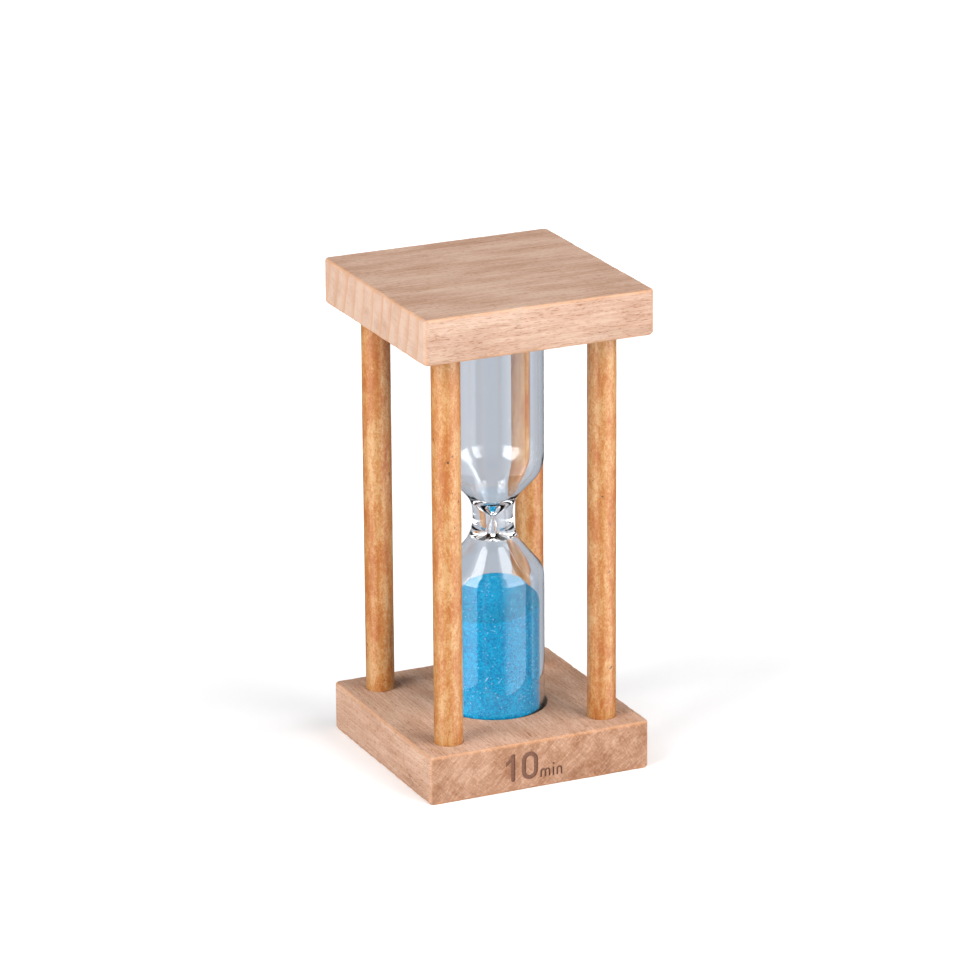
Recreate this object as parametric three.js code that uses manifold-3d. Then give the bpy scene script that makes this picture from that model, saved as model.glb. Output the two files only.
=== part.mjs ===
// A framed sand timer: a pinched glass vial of coloured sand, held between two square beech
// plates that four glued dowels join. Millimetres, +Z up, origin at the bottom centre of the
// base plate, numbered face of the base towards -Y.

import * as THREE from 'three';
import { mergeVertices } from 'three/addons/utils/BufferGeometryUtils.js';
import Module from 'manifold-3d';

// Plates.
const BASE_SIDE = 50;
const BASE_THICKNESS = 10.4;
const TOP_OVERHANG = 0.6; // how far the top plate stands out past the base on each side
const TOP_THICKNESS = 9.6;
const OVERALL_HEIGHT = 104;
const CORNER_RADIUS = 1.3;
const EDGE_RADIUS = 0.5;

// Dowel posts.
const POST_DIAMETER = 6.1;
const POST_INSET = 7.5; // post axis to the side of the base plate
const POST_SOCKET_DEPTH = 6;
const POST_END_CHAMFER = 0.4;
const GLUE_GAP = 0.15; // glue film round and under each post

// Seats that hold the ends of the vial.
const SEAT_CENTRE = new THREE.Vector2(0.7, -0.4); // bored a little off the middle of the plates
const SEAT_DEPTH = 3;
const SEAT_CLEARANCE = 0.5; // radial, between the vial and its seat
const PAD_THICKNESS = 0.6;
const PAD_CLEARANCE = 0.25; // radial, between a pad and its seat
const VIAL_END_PLAY = 0.1;
const NECK_DROP = 0.4; // how far the neck sits under the middle of the space between the plates

// Glass vial. Heights are counted from the middle of the neck, and a flare is in degrees off upright.
const VIAL_RADIUS = 10.7;
const VIAL_WALL = 0.95;
const VIAL_FLOOR = 1.1;
const VIAL_END_RADIUS = 2.2;
const NECK_RADIUS = 4.2;
const ORIFICE_RADIUS = 0.4;
const ORIFICE_LENGTH = 0.6;
const UPPER_SHOULDER = { neckEnd: 2.9, flare: 41.3, waistRadius: 6.5, shoulderRadius: 5 };
const LOWER_SHOULDER = { neckEnd: 3.9, flare: 38.7, waistRadius: 9, shoulderRadius: 4 };
const UPPER_FUNNEL = { wall: 1, height: 3.2, fillet: 0.8 }; // wall is the glass left beside the neck
const LOWER_FUNNEL = { wall: 0.4, height: 4.9, fillet: 0.7 };
const CHANNEL = { radius: 1.1, height: 3.9, fillet: 0.3 }; // narrow bore under the orifice
const FILL_HOLE_RADIUS = 3.4;

// Fill plug.
const PLUG_GAP = 0.15;
const PLUG_LENGTH = 2.4;
const PLUG_TAPER = 0.35; // how much smaller the inner end's radius is
const PLUG_CHAMFER = 0.3;

// Sand, all of it run down into the lower bulb.
const SAND_DEPTH = 22.9; // from the vial's floor up to the ring where the heap meets the wall
const HEAP_RISE = 5.4;
const CREST_RADIUS = 3;
const CREST_FILLET = 2.5;
const SAND_GAP = 0.1;

// Engraved minute mark on the front of the base.
const MARK_DEPTH = 0.2;
const NUMERAL = { height: 6.1, width: 3.7, stroke: 0.95, gap: 1.5, flag: 2.1 };
const UNIT = { height: 1.9, archWidth: 1.35, stroke: 0.38, gap: 0.5, dotRise: 0.7 };
const MARK_LEFT = -8; // left end of the mark from the middle of the face

// Fineness of the round shapes.
const VIAL_SEGMENTS = 36;
const SEAT_SEGMENTS = 64;
const POST_SEGMENTS = 32;
const ARC_STEP = THREE.MathUtils.degToRad(15);
const CUTTER_OVERRUN = 1; // how far a cutting tool stands out of the face it enters

// Places that follow from the sizes above.
const TOP_SIDE = BASE_SIDE + 2 * TOP_OVERHANG;
const TOP_UNDERSIDE = OVERALL_HEIGHT - TOP_THICKNESS;
const POST_OFFSET = BASE_SIDE / 2 - POST_INSET;
const SEAT_RADIUS = VIAL_RADIUS + SEAT_CLEARANCE;
const VIAL_BOTTOM = BASE_THICKNESS - SEAT_DEPTH + PAD_THICKNESS;
const VIAL_TOP = TOP_UNDERSIDE + SEAT_DEPTH - PAD_THICKNESS - VIAL_END_PLAY;
const NECK_HEIGHT = (BASE_THICKNESS + TOP_UNDERSIDE) / 2 - NECK_DROP;
const SAND_FLOOR = VIAL_BOTTOM + VIAL_FLOOR;
const MARK_BASELINE = (BASE_THICKNESS - NUMERAL.height) / 2;

const wasm = await Module();
wasm.setup();

// ---------------------------------------------------------------- solids

/** Copy of a geometry with shared vertices merged and no zero-area triangles. */
function welded(geometry) {
  const bare = geometry.clone();
  bare.deleteAttribute('normal');
  bare.deleteAttribute('uv');
  const merged = mergeVertices(bare);
  const kept = [];
  const index = merged.getIndex().array;
  for (let i = 0; i < index.length; i += 3) {
    const [a, b, c] = [index[i], index[i + 1], index[i + 2]];
    if (a !== b && b !== c && c !== a) kept.push(a, b, c);
  }
  merged.setIndex(kept);
  return merged;
}

/** Manifold solid of a closed geometry. */
function solid(geometry) {
  const closed = welded(geometry);
  return new wasm.Manifold(new wasm.Mesh({
    numProp: 3,
    vertProperties: new Float32Array(closed.getAttribute('position').array),
    triVerts: new Uint32Array(closed.getIndex().array),
  }));
}

/** Geometry of a manifold solid, flat shaded. */
function geometryOf(body) {
  const mesh = body.getMesh();
  const geometry = new THREE.BufferGeometry();
  geometry.setAttribute('position', new THREE.BufferAttribute(mesh.vertProperties, 3));
  geometry.setIndex(new THREE.BufferAttribute(mesh.triVerts, 1));
  const flat = geometry.toNonIndexed();
  flat.computeVertexNormals();
  return flat;
}

/** Part of a solid left after every tool is cut away. */
function cutBy(body, tools) {
  return tools.reduce((left, tool) => left.subtract(tool), body);
}

/** Upright cylinder between two heights. */
function upright(radius, bottom, top, segments, centre = new THREE.Vector2()) {
  const geometry = new THREE.CylinderGeometry(radius, radius, top - bottom, segments);
  geometry.rotateX(Math.PI / 2);
  geometry.translate(centre.x, centre.y, (bottom + top) / 2);
  return geometry;
}

/** Solid of revolution about +Z of an outline of (radius, height) points. */
function turned(outline, segments) {
  const geometry = new THREE.LatheGeometry(outline, segments);
  geometry.rotateX(Math.PI / 2);
  return geometry;
}

/** A corner of an outline, with the radius that rounds it. */
function corner(radius, height, fillet = 0) {
  return { at: new THREE.Vector2(radius, height), fillet };
}

/** Outline through the corners, each rounded by a tangent arc of its fillet radius. */
function roundedOutline(corners) {
  return corners.flatMap(({ at, fillet }, i) => {
    if (fillet === 0) return [at];
    const before = corners[i - 1].at.clone().sub(at).normalize();
    const after = corners[i + 1].at.clone().sub(at).normalize();
    const halfAngle = Math.acos(THREE.MathUtils.clamp(before.dot(after), -1, 1)) / 2;
    const bisector = before.clone().add(after).normalize();
    const centre = at.clone().addScaledVector(bisector, fillet / Math.sin(halfAngle));
    const start = at.clone().addScaledVector(before, fillet / Math.tan(halfAngle)).sub(centre);
    const turn = (Math.PI - 2 * halfAngle) * Math.sign(start.cross(bisector.clone().negate()));
    const steps = Math.max(2, Math.ceil(Math.abs(turn) / ARC_STEP));
    return Array.from({ length: steps + 1 }, (_, step) => (
      start.clone().rotateAround(new THREE.Vector2(), (turn * step) / steps).add(centre)
    ));
  });
}

// ---------------------------------------------------------------- plates and posts

/** Square plate with rounded corners and eased edges, from one height to another. */
function plateBlank(side, bottom, top) {
  const half = side / 2;
  const arm = half - CORNER_RADIUS;
  const outline = new THREE.Shape();
  outline.moveTo(half, -arm);
  outline.absarc(arm, arm, CORNER_RADIUS, 0, Math.PI / 2);
  outline.absarc(-arm, arm, CORNER_RADIUS, Math.PI / 2, Math.PI);
  outline.absarc(-arm, -arm, CORNER_RADIUS, Math.PI, 1.5 * Math.PI);
  outline.absarc(arm, -arm, CORNER_RADIUS, 1.5 * Math.PI, 2 * Math.PI);
  const geometry = new THREE.ExtrudeGeometry(outline, {
    depth: top - bottom - 2 * EDGE_RADIUS,
    curveSegments: 5,
    bevelSize: EDGE_RADIUS,
    bevelThickness: EDGE_RADIUS,
    bevelOffset: -EDGE_RADIUS,
    bevelSegments: 3,
  });
  geometry.translate(0, 0, bottom + EDGE_RADIUS);
  return solid(geometry);
}

/** The four post axes, named by where they stand. */
const POST_PLACES = [
  ['front_left', -1, -1],
  ['front_right', 1, -1],
  ['back_left', -1, 1],
  ['back_right', 1, 1],
].map(([name, sideX, sideY]) => (
  { name, axis: new THREE.Vector2(sideX * POST_OFFSET, sideY * POST_OFFSET) }
));

/** Tools that bore the four post sockets and the vial's seat between two heights. */
function boringTools(socketBottom, socketTop, seatBottom, seatTop) {
  const socketRadius = POST_DIAMETER / 2 + GLUE_GAP;
  const sockets = POST_PLACES.map(({ axis }) => (
    solid(upright(socketRadius, socketBottom, socketTop, POST_SEGMENTS, axis))
  ));
  return [...sockets, solid(upright(SEAT_RADIUS, seatBottom, seatTop, SEAT_SEGMENTS, SEAT_CENTRE))];
}

/** Base plate, bored from above and engraved on its front. */
function basePlate() {
  const above = BASE_THICKNESS + CUTTER_OVERRUN;
  const tools = boringTools(
    BASE_THICKNESS - POST_SOCKET_DEPTH, above, BASE_THICKNESS - SEAT_DEPTH, above,
  );
  return geometryOf(cutBy(plateBlank(BASE_SIDE, 0, BASE_THICKNESS), [...tools, ...minuteMark()]));
}

/** Top plate, bored from below. */
function topPlate() {
  const below = TOP_UNDERSIDE - CUTTER_OVERRUN;
  const tools = boringTools(
    below, TOP_UNDERSIDE + POST_SOCKET_DEPTH, below, TOP_UNDERSIDE + SEAT_DEPTH,
  );
  return geometryOf(cutBy(plateBlank(TOP_SIDE, TOP_UNDERSIDE, OVERALL_HEIGHT), tools));
}

/** Dowel with chamfered ends, its axis at the origin and its foot in the base's socket. */
function post() {
  const radius = POST_DIAMETER / 2;
  const foot = BASE_THICKNESS - POST_SOCKET_DEPTH + GLUE_GAP;
  const head = TOP_UNDERSIDE + POST_SOCKET_DEPTH - GLUE_GAP;
  return turned([
    new THREE.Vector2(0, foot),
    new THREE.Vector2(radius - POST_END_CHAMFER, foot),
    new THREE.Vector2(radius, foot + POST_END_CHAMFER),
    new THREE.Vector2(radius, head - POST_END_CHAMFER),
    new THREE.Vector2(radius - POST_END_CHAMFER, head),
    new THREE.Vector2(0, head),
  ], POST_SEGMENTS);
}

// ---------------------------------------------------------------- engraved mark

/** Upright slot outline with half-round ends, standing on the baseline. */
function slotOutline(Outline, left, width, bottom, height) {
  const radius = width / 2;
  const outline = new Outline();
  outline.moveTo(left + width, bottom + radius);
  outline.absarc(left + radius, bottom + height - radius, radius, 0, Math.PI);
  outline.absarc(left + radius, bottom + radius, radius, Math.PI, 2 * Math.PI);
  return outline;
}

/** Numeral one: a stem with a short straight flag. */
function numeralOne(left) {
  const { height, stroke, flag } = NUMERAL;
  const stemLeft = left + flag - stroke;
  const lean = new THREE.Shape();
  lean.moveTo(stemLeft + stroke, height);
  lean.lineTo(left, height - flag + stroke / 2);
  lean.lineTo(left, height - flag - stroke / 2);
  lean.lineTo(stemLeft + stroke, height - stroke);
  return [slotOutline(THREE.Shape, stemLeft, stroke, 0, height), lean];
}

/** Numeral nought: a ring with straight sides. */
function numeralNought(left) {
  const { height, width, stroke } = NUMERAL;
  const ring = slotOutline(THREE.Shape, left, width, 0, height);
  ring.holes.push(slotOutline(
    THREE.Path, left + stroke, width - 2 * stroke, stroke, height - 2 * stroke,
  ));
  return ring;
}

/** One arch of the small letters: two legs joined by a half ring. */
function letterArch(left) {
  const { height, archWidth, stroke } = UNIT;
  const radius = archWidth / 2;
  const arch = new THREE.Shape();
  arch.moveTo(left + archWidth, 0);
  arch.absarc(left + radius, height - radius, radius, 0, Math.PI);
  arch.lineTo(left, 0);
  arch.lineTo(left + stroke, 0);
  arch.absarc(left + radius, height - radius, radius - stroke, Math.PI, 0, true);
  arch.lineTo(left + archWidth - stroke, 0);
  return arch;
}

/** Small letter i: a stem and a round dot. */
function letterI(left) {
  const { height, stroke, dotRise } = UNIT;
  const dot = slotOutline(THREE.Shape, left, stroke, height + dotRise - stroke / 2, stroke * 1.2);
  return [slotOutline(THREE.Shape, left, stroke, 0, height), dot];
}

/** Cutting tools for the mark, the number 10 with a small minute unit, on the front face. */
function minuteMark() {
  const noughtLeft = MARK_LEFT + NUMERAL.flag + NUMERAL.gap;
  const unitLeft = noughtLeft + NUMERAL.width + UNIT.gap;
  const archPitch = UNIT.archWidth - UNIT.stroke;
  const stemLeft = unitLeft + archPitch + UNIT.archWidth + UNIT.gap;
  const shapes = [
    ...numeralOne(MARK_LEFT),
    numeralNought(noughtLeft),
    letterArch(unitLeft),
    letterArch(unitLeft + archPitch),
    ...letterI(stemLeft),
    letterArch(stemLeft + UNIT.stroke + UNIT.gap),
  ];
  return shapes.map((shape) => {
    const depth = MARK_DEPTH + CUTTER_OVERRUN;
    const tool = new THREE.ExtrudeGeometry(shape, { depth, bevelEnabled: false, curveSegments: 8 });
    tool.rotateX(Math.PI / 2);
    tool.translate(0, MARK_DEPTH - BASE_SIDE / 2, MARK_BASELINE);
    return solid(tool);
  });
}

// ---------------------------------------------------------------- vial, plug, sand and pads

/** Height over which a shoulder widens by the given radius. */
function shoulderRise(shoulder, widening) {
  return widening / Math.tan(THREE.MathUtils.degToRad(shoulder.flare));
}

/** Outer corners of one bulb from the neck to its closed end, at heights above the neck. */
function bulbOutside(shoulder, endHeight) {
  const tubeStart = shoulder.neckEnd + shoulderRise(shoulder, VIAL_RADIUS - NECK_RADIUS);
  return [
    corner(NECK_RADIUS, shoulder.neckEnd, shoulder.waistRadius),
    corner(VIAL_RADIUS, tubeStart, shoulder.shoulderRadius),
    corner(VIAL_RADIUS, endHeight, VIAL_END_RADIUS),
  ];
}

/** Inner corners of one bulb from its funnel to its end, each moved inwards by the inset. */
function bulbInside(shoulder, funnel, endHeight, inset = 0) {
  const throat = NECK_RADIUS - funnel.wall;
  const bore = VIAL_RADIUS - VIAL_WALL;
  const boreStart = funnel.height + shoulderRise(shoulder, bore - throat);
  return [
    corner(throat - inset, funnel.height + inset, funnel.fillet),
    corner(bore - inset, boreStart + inset, shoulder.shoulderRadius),
    corner(bore - inset, endHeight - VIAL_FLOOR - inset, VIAL_END_RADIUS - VIAL_WALL),
  ];
}

/** Corners mirrored below the neck, in reverse order, so that an outline runs on through it. */
function belowNeck(corners) {
  return corners.map(({ at, fillet }) => corner(at.x, -at.y, fillet)).reverse();
}

const UPPER_END = VIAL_TOP - NECK_HEIGHT;
const LOWER_END = NECK_HEIGHT - VIAL_BOTTOM;

/** Pinched vial: two bulbs joined by a bored neck, closed below and open at the fill hole. */
function vial() {
  const halfOrifice = ORIFICE_LENGTH / 2;
  const outside = [
    corner(0, -LOWER_END),
    ...belowNeck(bulbOutside(LOWER_SHOULDER, LOWER_END)),
    ...bulbOutside(UPPER_SHOULDER, UPPER_END),
    corner(FILL_HOLE_RADIUS, UPPER_END),
  ];
  const channel = corner(CHANNEL.radius, -CHANNEL.height, CHANNEL.fillet);
  const inside = [
    corner(0, VIAL_FLOOR - LOWER_END),
    ...belowNeck(bulbInside(LOWER_SHOULDER, LOWER_FUNNEL, LOWER_END)),
    channel,
    corner(ORIFICE_RADIUS, -halfOrifice),
    corner(ORIFICE_RADIUS, halfOrifice),
    ...bulbInside(UPPER_SHOULDER, UPPER_FUNNEL, UPPER_END),
    corner(FILL_HOLE_RADIUS, UPPER_END - VIAL_FLOOR),
  ];
  return turned(roundedOutline([...outside, ...inside.reverse()]), VIAL_SEGMENTS);
}

/** Tapered plug pressed into the fill hole, flush with the end of the vial. */
function fillPlug() {
  const outer = FILL_HOLE_RADIUS - PLUG_GAP;
  const inner = outer - PLUG_TAPER;
  return turned([
    new THREE.Vector2(0, UPPER_END - PLUG_LENGTH),
    new THREE.Vector2(inner - PLUG_CHAMFER, UPPER_END - PLUG_LENGTH),
    new THREE.Vector2(inner, UPPER_END - PLUG_LENGTH + PLUG_CHAMFER),
    new THREE.Vector2(outer, UPPER_END - VIAL_FLOOR),
    new THREE.Vector2(outer, UPPER_END),
    new THREE.Vector2(0, UPPER_END),
  ], VIAL_SEGMENTS);
}

/** Sand: the lower bulb's cavity less a small gap, up to the surface of the heap. */
function sand() {
  const cavity = solid(turned(roundedOutline([
    corner(0, VIAL_FLOOR + SAND_GAP - LOWER_END),
    ...belowNeck(bulbInside(LOWER_SHOULDER, LOWER_FUNNEL, LOWER_END, SAND_GAP)),
    corner(0, -LOWER_FUNNEL.height - SAND_GAP),
  ]), VIAL_SEGMENTS));
  const ring = SAND_FLOOR + SAND_DEPTH - NECK_HEIGHT;
  const bore = VIAL_RADIUS - VIAL_WALL;
  const heap = solid(turned(roundedOutline([
    corner(0, -LOWER_END),
    corner(VIAL_RADIUS, -LOWER_END),
    corner(VIAL_RADIUS, ring),
    corner(bore, ring),
    corner(CREST_RADIUS, ring + HEAP_RISE, CREST_FILLET),
    corner(0, ring + HEAP_RISE),
  ]), VIAL_SEGMENTS));
  return geometryOf(cavity.intersect(heap));
}

/** Felt disc that lies in a seat, its lower face at the origin. */
function pad() {
  return upright(SEAT_RADIUS - PAD_CLEARANCE, 0, PAD_THICKNESS, VIAL_SEGMENTS);
}

// ---------------------------------------------------------------- assembly

/** Named mesh with a material of its own. */
function part(name, geometry, look) {
  const mesh = new THREE.Mesh(geometry, new THREE.MeshStandardMaterial(look));
  mesh.name = name;
  return mesh;
}

const BEECH = { color: 0xd8b091, roughness: 0.5, metalness: 0 };
const STAINED_BEECH = { color: 0xc98a45, roughness: 0.4, metalness: 0 };
const GLASS = { color: 0xd5e0e8, roughness: 0.03, metalness: 0, transparent: true, opacity: 0.35 };
const BLUE_SAND = { color: 0x1a9bd8, roughness: 0.8, metalness: 0 };
const GREY_FELT = { color: 0x8b8780, roughness: 1, metalness: 0 };
const CLEAR_SILICONE = { color: 0xe2e4e2, roughness: 0.45, metalness: 0 };

const frame = new THREE.Group();
frame.add(part('base_plate', basePlate(), BEECH));
frame.add(part('top_plate', topPlate(), BEECH));
for (const { name, axis } of POST_PLACES) {
  const dowel = part(`post_${name}`, post(), STAINED_BEECH);
  dowel.position.set(axis.x, axis.y, 0);
  frame.add(dowel);
}
const lowerPad = part('lower_seat_pad', pad(), GREY_FELT);
lowerPad.position.set(SEAT_CENTRE.x, SEAT_CENTRE.y, BASE_THICKNESS - SEAT_DEPTH);
const upperPad = part('upper_seat_pad', pad(), GREY_FELT);
upperPad.position.set(SEAT_CENTRE.x, SEAT_CENTRE.y, TOP_UNDERSIDE + SEAT_DEPTH - PAD_THICKNESS);
frame.add(lowerPad, upperPad);

const filledVial = new THREE.Group();
filledVial.position.set(SEAT_CENTRE.x, SEAT_CENTRE.y, NECK_HEIGHT);
filledVial.add(part('glass_vial', vial(), GLASS));
filledVial.add(part('fill_plug', fillPlug(), CLEAR_SILICONE));
filledVial.add(part('sand', sand(), BLUE_SAND));

const sandTimer = new THREE.Group();
sandTimer.add(frame, filledVial);

export default sandTimer;
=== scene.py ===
"""A ten-minute sand timer: a pinched vial of blue sand between two beech boards on four dowels.

The packed model gives the boards, posts and seats their places and sizes. The pieces made here
stand for its nodes with finer shapes and finishes, in metres and in the same frame.
"""

import logging
import math
import random
from collections.abc import Callable, Iterable, Sequence
from dataclasses import dataclass
from enum import Enum
from typing import Any, Union

import bpy
from mathutils import Matrix, Vector, noise


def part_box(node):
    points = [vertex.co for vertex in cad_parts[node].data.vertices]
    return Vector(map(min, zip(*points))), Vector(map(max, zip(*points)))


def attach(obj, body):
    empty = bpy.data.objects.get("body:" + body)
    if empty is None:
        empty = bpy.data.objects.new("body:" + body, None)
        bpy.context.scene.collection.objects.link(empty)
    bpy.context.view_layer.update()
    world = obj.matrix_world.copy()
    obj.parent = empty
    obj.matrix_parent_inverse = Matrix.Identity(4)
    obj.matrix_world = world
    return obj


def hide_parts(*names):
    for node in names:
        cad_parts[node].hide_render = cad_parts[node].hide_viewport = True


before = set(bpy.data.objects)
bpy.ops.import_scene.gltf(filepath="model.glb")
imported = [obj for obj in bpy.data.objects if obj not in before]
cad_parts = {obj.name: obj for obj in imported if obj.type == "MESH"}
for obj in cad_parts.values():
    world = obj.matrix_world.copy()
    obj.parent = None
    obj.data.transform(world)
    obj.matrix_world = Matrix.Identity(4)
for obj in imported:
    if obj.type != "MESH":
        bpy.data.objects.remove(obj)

log = logging.getLogger("sand_timer")

MM = 0.001

Colour = tuple[float, float, float]
Box = tuple[Vector, Vector]
Outline = list[tuple[float, float]]

# Angle in degrees above which an edge stays crisp, unless a piece says otherwise.
CRISP_ANGLE = 35.0
# How far a cutting tool stands out of the face that it cuts.
OVERRUN = 1.0 * MM


# ---------------------------------------------------------------- shader writing


def _math(operation: str, meaning: str, reflected: bool = False) -> Callable[..., "Sock"]:
    """Make a method of Sock that adds one Math node.

    Args:
        operation: the node's operation.
        meaning: what the method gives.
        reflected: True if the socket is the second operand.

    Returns:
        The method.
    """

    def method(self: "Sock", *others: "Feed") -> "Sock":
        operands = [*others, self] if reflected else [self, *others]
        sockets = dict(zip(("Value", "Value_001"), operands))
        return self.sheet.node("ShaderNodeMath", {"operation": operation}, sockets)

    method.__doc__ = meaning
    return method


class Sock:
    """A shader value. Arithmetic on it adds the Math nodes that work it out."""

    __add__ = _math("ADD", "Sum.")
    __radd__ = _math("ADD", "Sum with a plain number.")
    __sub__ = _math("SUBTRACT", "Difference.")
    __rsub__ = _math("SUBTRACT", "Difference, taken from a plain number.", reflected=True)
    __mul__ = _math("MULTIPLY", "Product.")
    __rmul__ = _math("MULTIPLY", "Product with a plain number.")
    __truediv__ = _math("DIVIDE", "Quotient.")
    __pow__ = _math("POWER", "Power.")
    size = _math("ABSOLUTE", "Value without its sign.")
    rest = _math("FRACT", "Part of the value after the point.")
    whole = _math("FLOOR", "Largest whole number not above the value.")
    least = _math("MINIMUM", "Smaller of two values.")
    most = _math("MAXIMUM", "Larger of two values.")
    angle_over = _math("ARCTAN2", "Angle of the direction whose level part is the other value.")

    def __init__(self, sheet: "Sheet", socket: bpy.types.NodeSocket) -> None:
        """Keep the socket and the sheet it is on."""
        self.sheet = sheet
        self.socket = socket

    def clamped(self) -> "Sock":
        """Value kept between 0 and 1."""
        return self.least(1.0).most(0.0)

    def rise(self, start: float, end: float) -> "Sock":
        """Smooth step.

        Args:
            start: where the result is 0.
            end: where the result is 1. It may be below start.

        Returns:
            The step, between 0 and 1.
        """
        low, high = min(start, end), max(start, end)
        step = self.sheet.node(
            "ShaderNodeMapRange",
            {"interpolation_type": "SMOOTHSTEP"},
            {"Value": self, "From Min": low, "From Max": high},
        )
        return step if start < end else 1.0 - step


Feed = Union[Sock, float, Sequence[float]]


class Sheet:
    """A node tree that is being written."""

    def __init__(self, tree: bpy.types.NodeTree, material: bpy.types.Material | None = None) -> None:
        """Empty a tree and keep it, with the material it belongs to, if any."""
        self.tree = tree
        self.material = material
        tree.nodes.clear()

    @classmethod
    def named(cls, name: str) -> "Sheet":
        """Sheet of a new material."""
        material = bpy.data.materials.new(name)
        material.use_nodes = True
        return cls(material.node_tree, material)

    def node(
        self,
        kind: str,
        settings: dict[str, Any] | None = None,
        sockets: dict[str, Feed] | None = None,
        output: str | int = 0,
    ) -> Sock:
        """Add one node.

        Args:
            kind: the node's type.
            settings: the node's own properties, set before its sockets. "stops" fills a colour ramp.
            sockets: input sockets by identifier, each given a value or a link.
            output: identifier or position of the output that is wanted.

        Returns:
            That output.
        """
        made = self.tree.nodes.new(kind)
        for key, value in (settings or {}).items():
            if key == "stops":
                self._fill_ramp(made.color_ramp, value)
            else:
                setattr(made, key, value)
        for key, value in (sockets or {}).items():
            self._feed(next(s for s in made.inputs if s.identifier == key), value)
        if isinstance(output, int):
            return Sock(self, made.outputs[output])
        return Sock(self, next(s for s in made.outputs if s.identifier == output))

    def _feed(self, target: bpy.types.NodeSocket, value: Feed) -> None:
        """Link an output to an input socket, or set the socket's own value."""
        if isinstance(value, Sock):
            self.tree.links.new(value.socket, target)
        elif target.type == "RGBA":
            target.default_value = (*value, 1.0)
        else:
            target.default_value = value

    @staticmethod
    def _fill_ramp(ramp: bpy.types.ColorRamp, stops: Sequence[tuple[float, Colour]]) -> None:
        """Set a ramp's stops, given as pairs of place and colour."""
        while len(ramp.elements) < len(stops):
            ramp.elements.new(1.0)
        for element, (place, colour) in zip(ramp.elements, stops):
            element.position = place
            element.color = (*colour, 1.0)

    def place(self) -> Sock:
        """Position on the object at rest, in millimetres."""
        metres = self.node("ShaderNodeTexCoord", output="Object")
        return self.stretch(metres, (1 / MM,) * 3)

    def stretch(self, vector: Feed, factors: Sequence[float]) -> Sock:
        """Vector with each axis multiplied by its factor."""
        sockets = {"Vector": vector, "Vector_001": factors}
        return self.node("ShaderNodeVectorMath", {"operation": "MULTIPLY"}, sockets, "Vector")

    def parts(self, vector: Feed) -> tuple[Sock, Sock, Sock]:
        """The three values of a vector."""
        split = self.node("ShaderNodeSeparateXYZ", None, {"Vector": vector})
        x, y, z = split.socket.node.outputs
        return Sock(self, x), Sock(self, y), Sock(self, z)

    def joined(self, x: Feed, y: Feed, z: Feed) -> Sock:
        """Vector of three values."""
        return self.node("ShaderNodeCombineXYZ", None, {"X": x, "Y": y, "Z": z})

    def cloud(
        self,
        vector: Feed,
        per_mm: float | Sequence[float] | None = None,
        detail: float = 2.0,
        roughness: float = 0.5,
        twist: float = 0.0,
    ) -> Sock:
        """Soft noise.

        Args:
            vector: where the noise is read.
            per_mm: features in a millimetre, the same for all axes or one for each.
            detail: how many finer layers are added.
            roughness: strength of each finer layer.
            twist: how much the noise is folded into itself.

        Returns:
            The noise, around 0.5.
        """
        if per_mm is not None:
            vector = self.stretch(vector, (per_mm,) * 3 if isinstance(per_mm, float) else per_mm)
        sockets = {"Vector": vector, "Scale": 1.0, "Detail": detail}
        sockets |= {"Roughness": roughness, "Distortion": twist}
        return self.node("ShaderNodeTexNoise", {"noise_dimensions": "3D"}, sockets, "Fac")

    def blend(self, share: Feed, first: Feed, second: Feed) -> Sock:
        """Mix of two colours.

        Args:
            share: how much of the second colour there is.
            first: the colour at share 0.
            second: the colour at share 1.

        Returns:
            The mixed colour.
        """
        sockets = {"Factor_Float": share, "A_Color": first, "B_Color": second}
        return self.node("ShaderNodeMix", {"data_type": "RGBA"}, sockets, "Result_Color")

    def ramp(self, value: Feed, stops: Sequence[tuple[float, Colour]]) -> Sock:
        """Colour that a ramp gives for a value."""
        return self.node("ShaderNodeValToRGB", {"stops": stops}, {"Fac": value}, "Color")

    def relief(self, height: Feed, depth: float, strength: float = 1.0) -> Sock:
        """Normal of a bumpy surface.

        Args:
            height: the height pattern, 0 to 1.
            depth: how deep the pattern is, in metres.
            strength: share of the effect.

        Returns:
            The normal.
        """
        sockets = {"Height": height, "Distance": depth, "Strength": strength}
        return self.node("ShaderNodeBump", None, sockets, "Normal")

    def surface(self, **sockets: Feed) -> Sock:
        """Principled shader. An underscore in a socket's name stands for a space."""
        named = {key.replace("_", " "): value for key, value in sockets.items()}
        return self.node("ShaderNodeBsdfPrincipled", None, named, "BSDF")

    def end(self, kind: str, shader: Sock) -> None:
        """Add an output node of a kind, and send a shader to its surface."""
        self.tree.links.new(shader.socket, self.tree.nodes.new(kind).inputs["Surface"])

    def finish(self, shader: Sock) -> bpy.types.Material:
        """Material that shows a shader."""
        self.end("ShaderNodeOutputMaterial", shader)
        return self.material


# ---------------------------------------------------------------- finishes


class Grain(Enum):
    """Horizontal axis that a board's grain runs along."""

    SIDEWAYS = "x"
    FRONT_TO_BACK = "y"

    def factors(self, along: float, across: float) -> Colour:
        """Stretch factors for a vector, from one along the grain and one across it."""
        return (along, across, across) if self is Grain.SIDEWAYS else (across, along, across)

    def split(self, sheet: Sheet, place: Sock) -> tuple[Sock, Sock, Sock]:
        """Place along the grain, across it on the level, and upwards."""
        x, y, z = sheet.parts(place)
        return (x, y, z) if self is Grain.SIDEWAYS else (y, x, z)


@dataclass(frozen=True)
class Finish:
    """A finish, which makes a material.

    Attributes:
        name: the material's name.
    """

    name: str

    def material(self, **known: Box) -> bpy.types.Material:
        """Build the material. What is given is passed on to its shader."""
        sheet = Sheet.named(self.name)
        return sheet.finish(self.shader(sheet, sheet.place(), **known))

    def shader(self, sheet: Sheet, place: Sock, **known: Box) -> Sock:
        """Shader on an empty sheet, from the position in mm."""
        raise NotImplementedError


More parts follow.
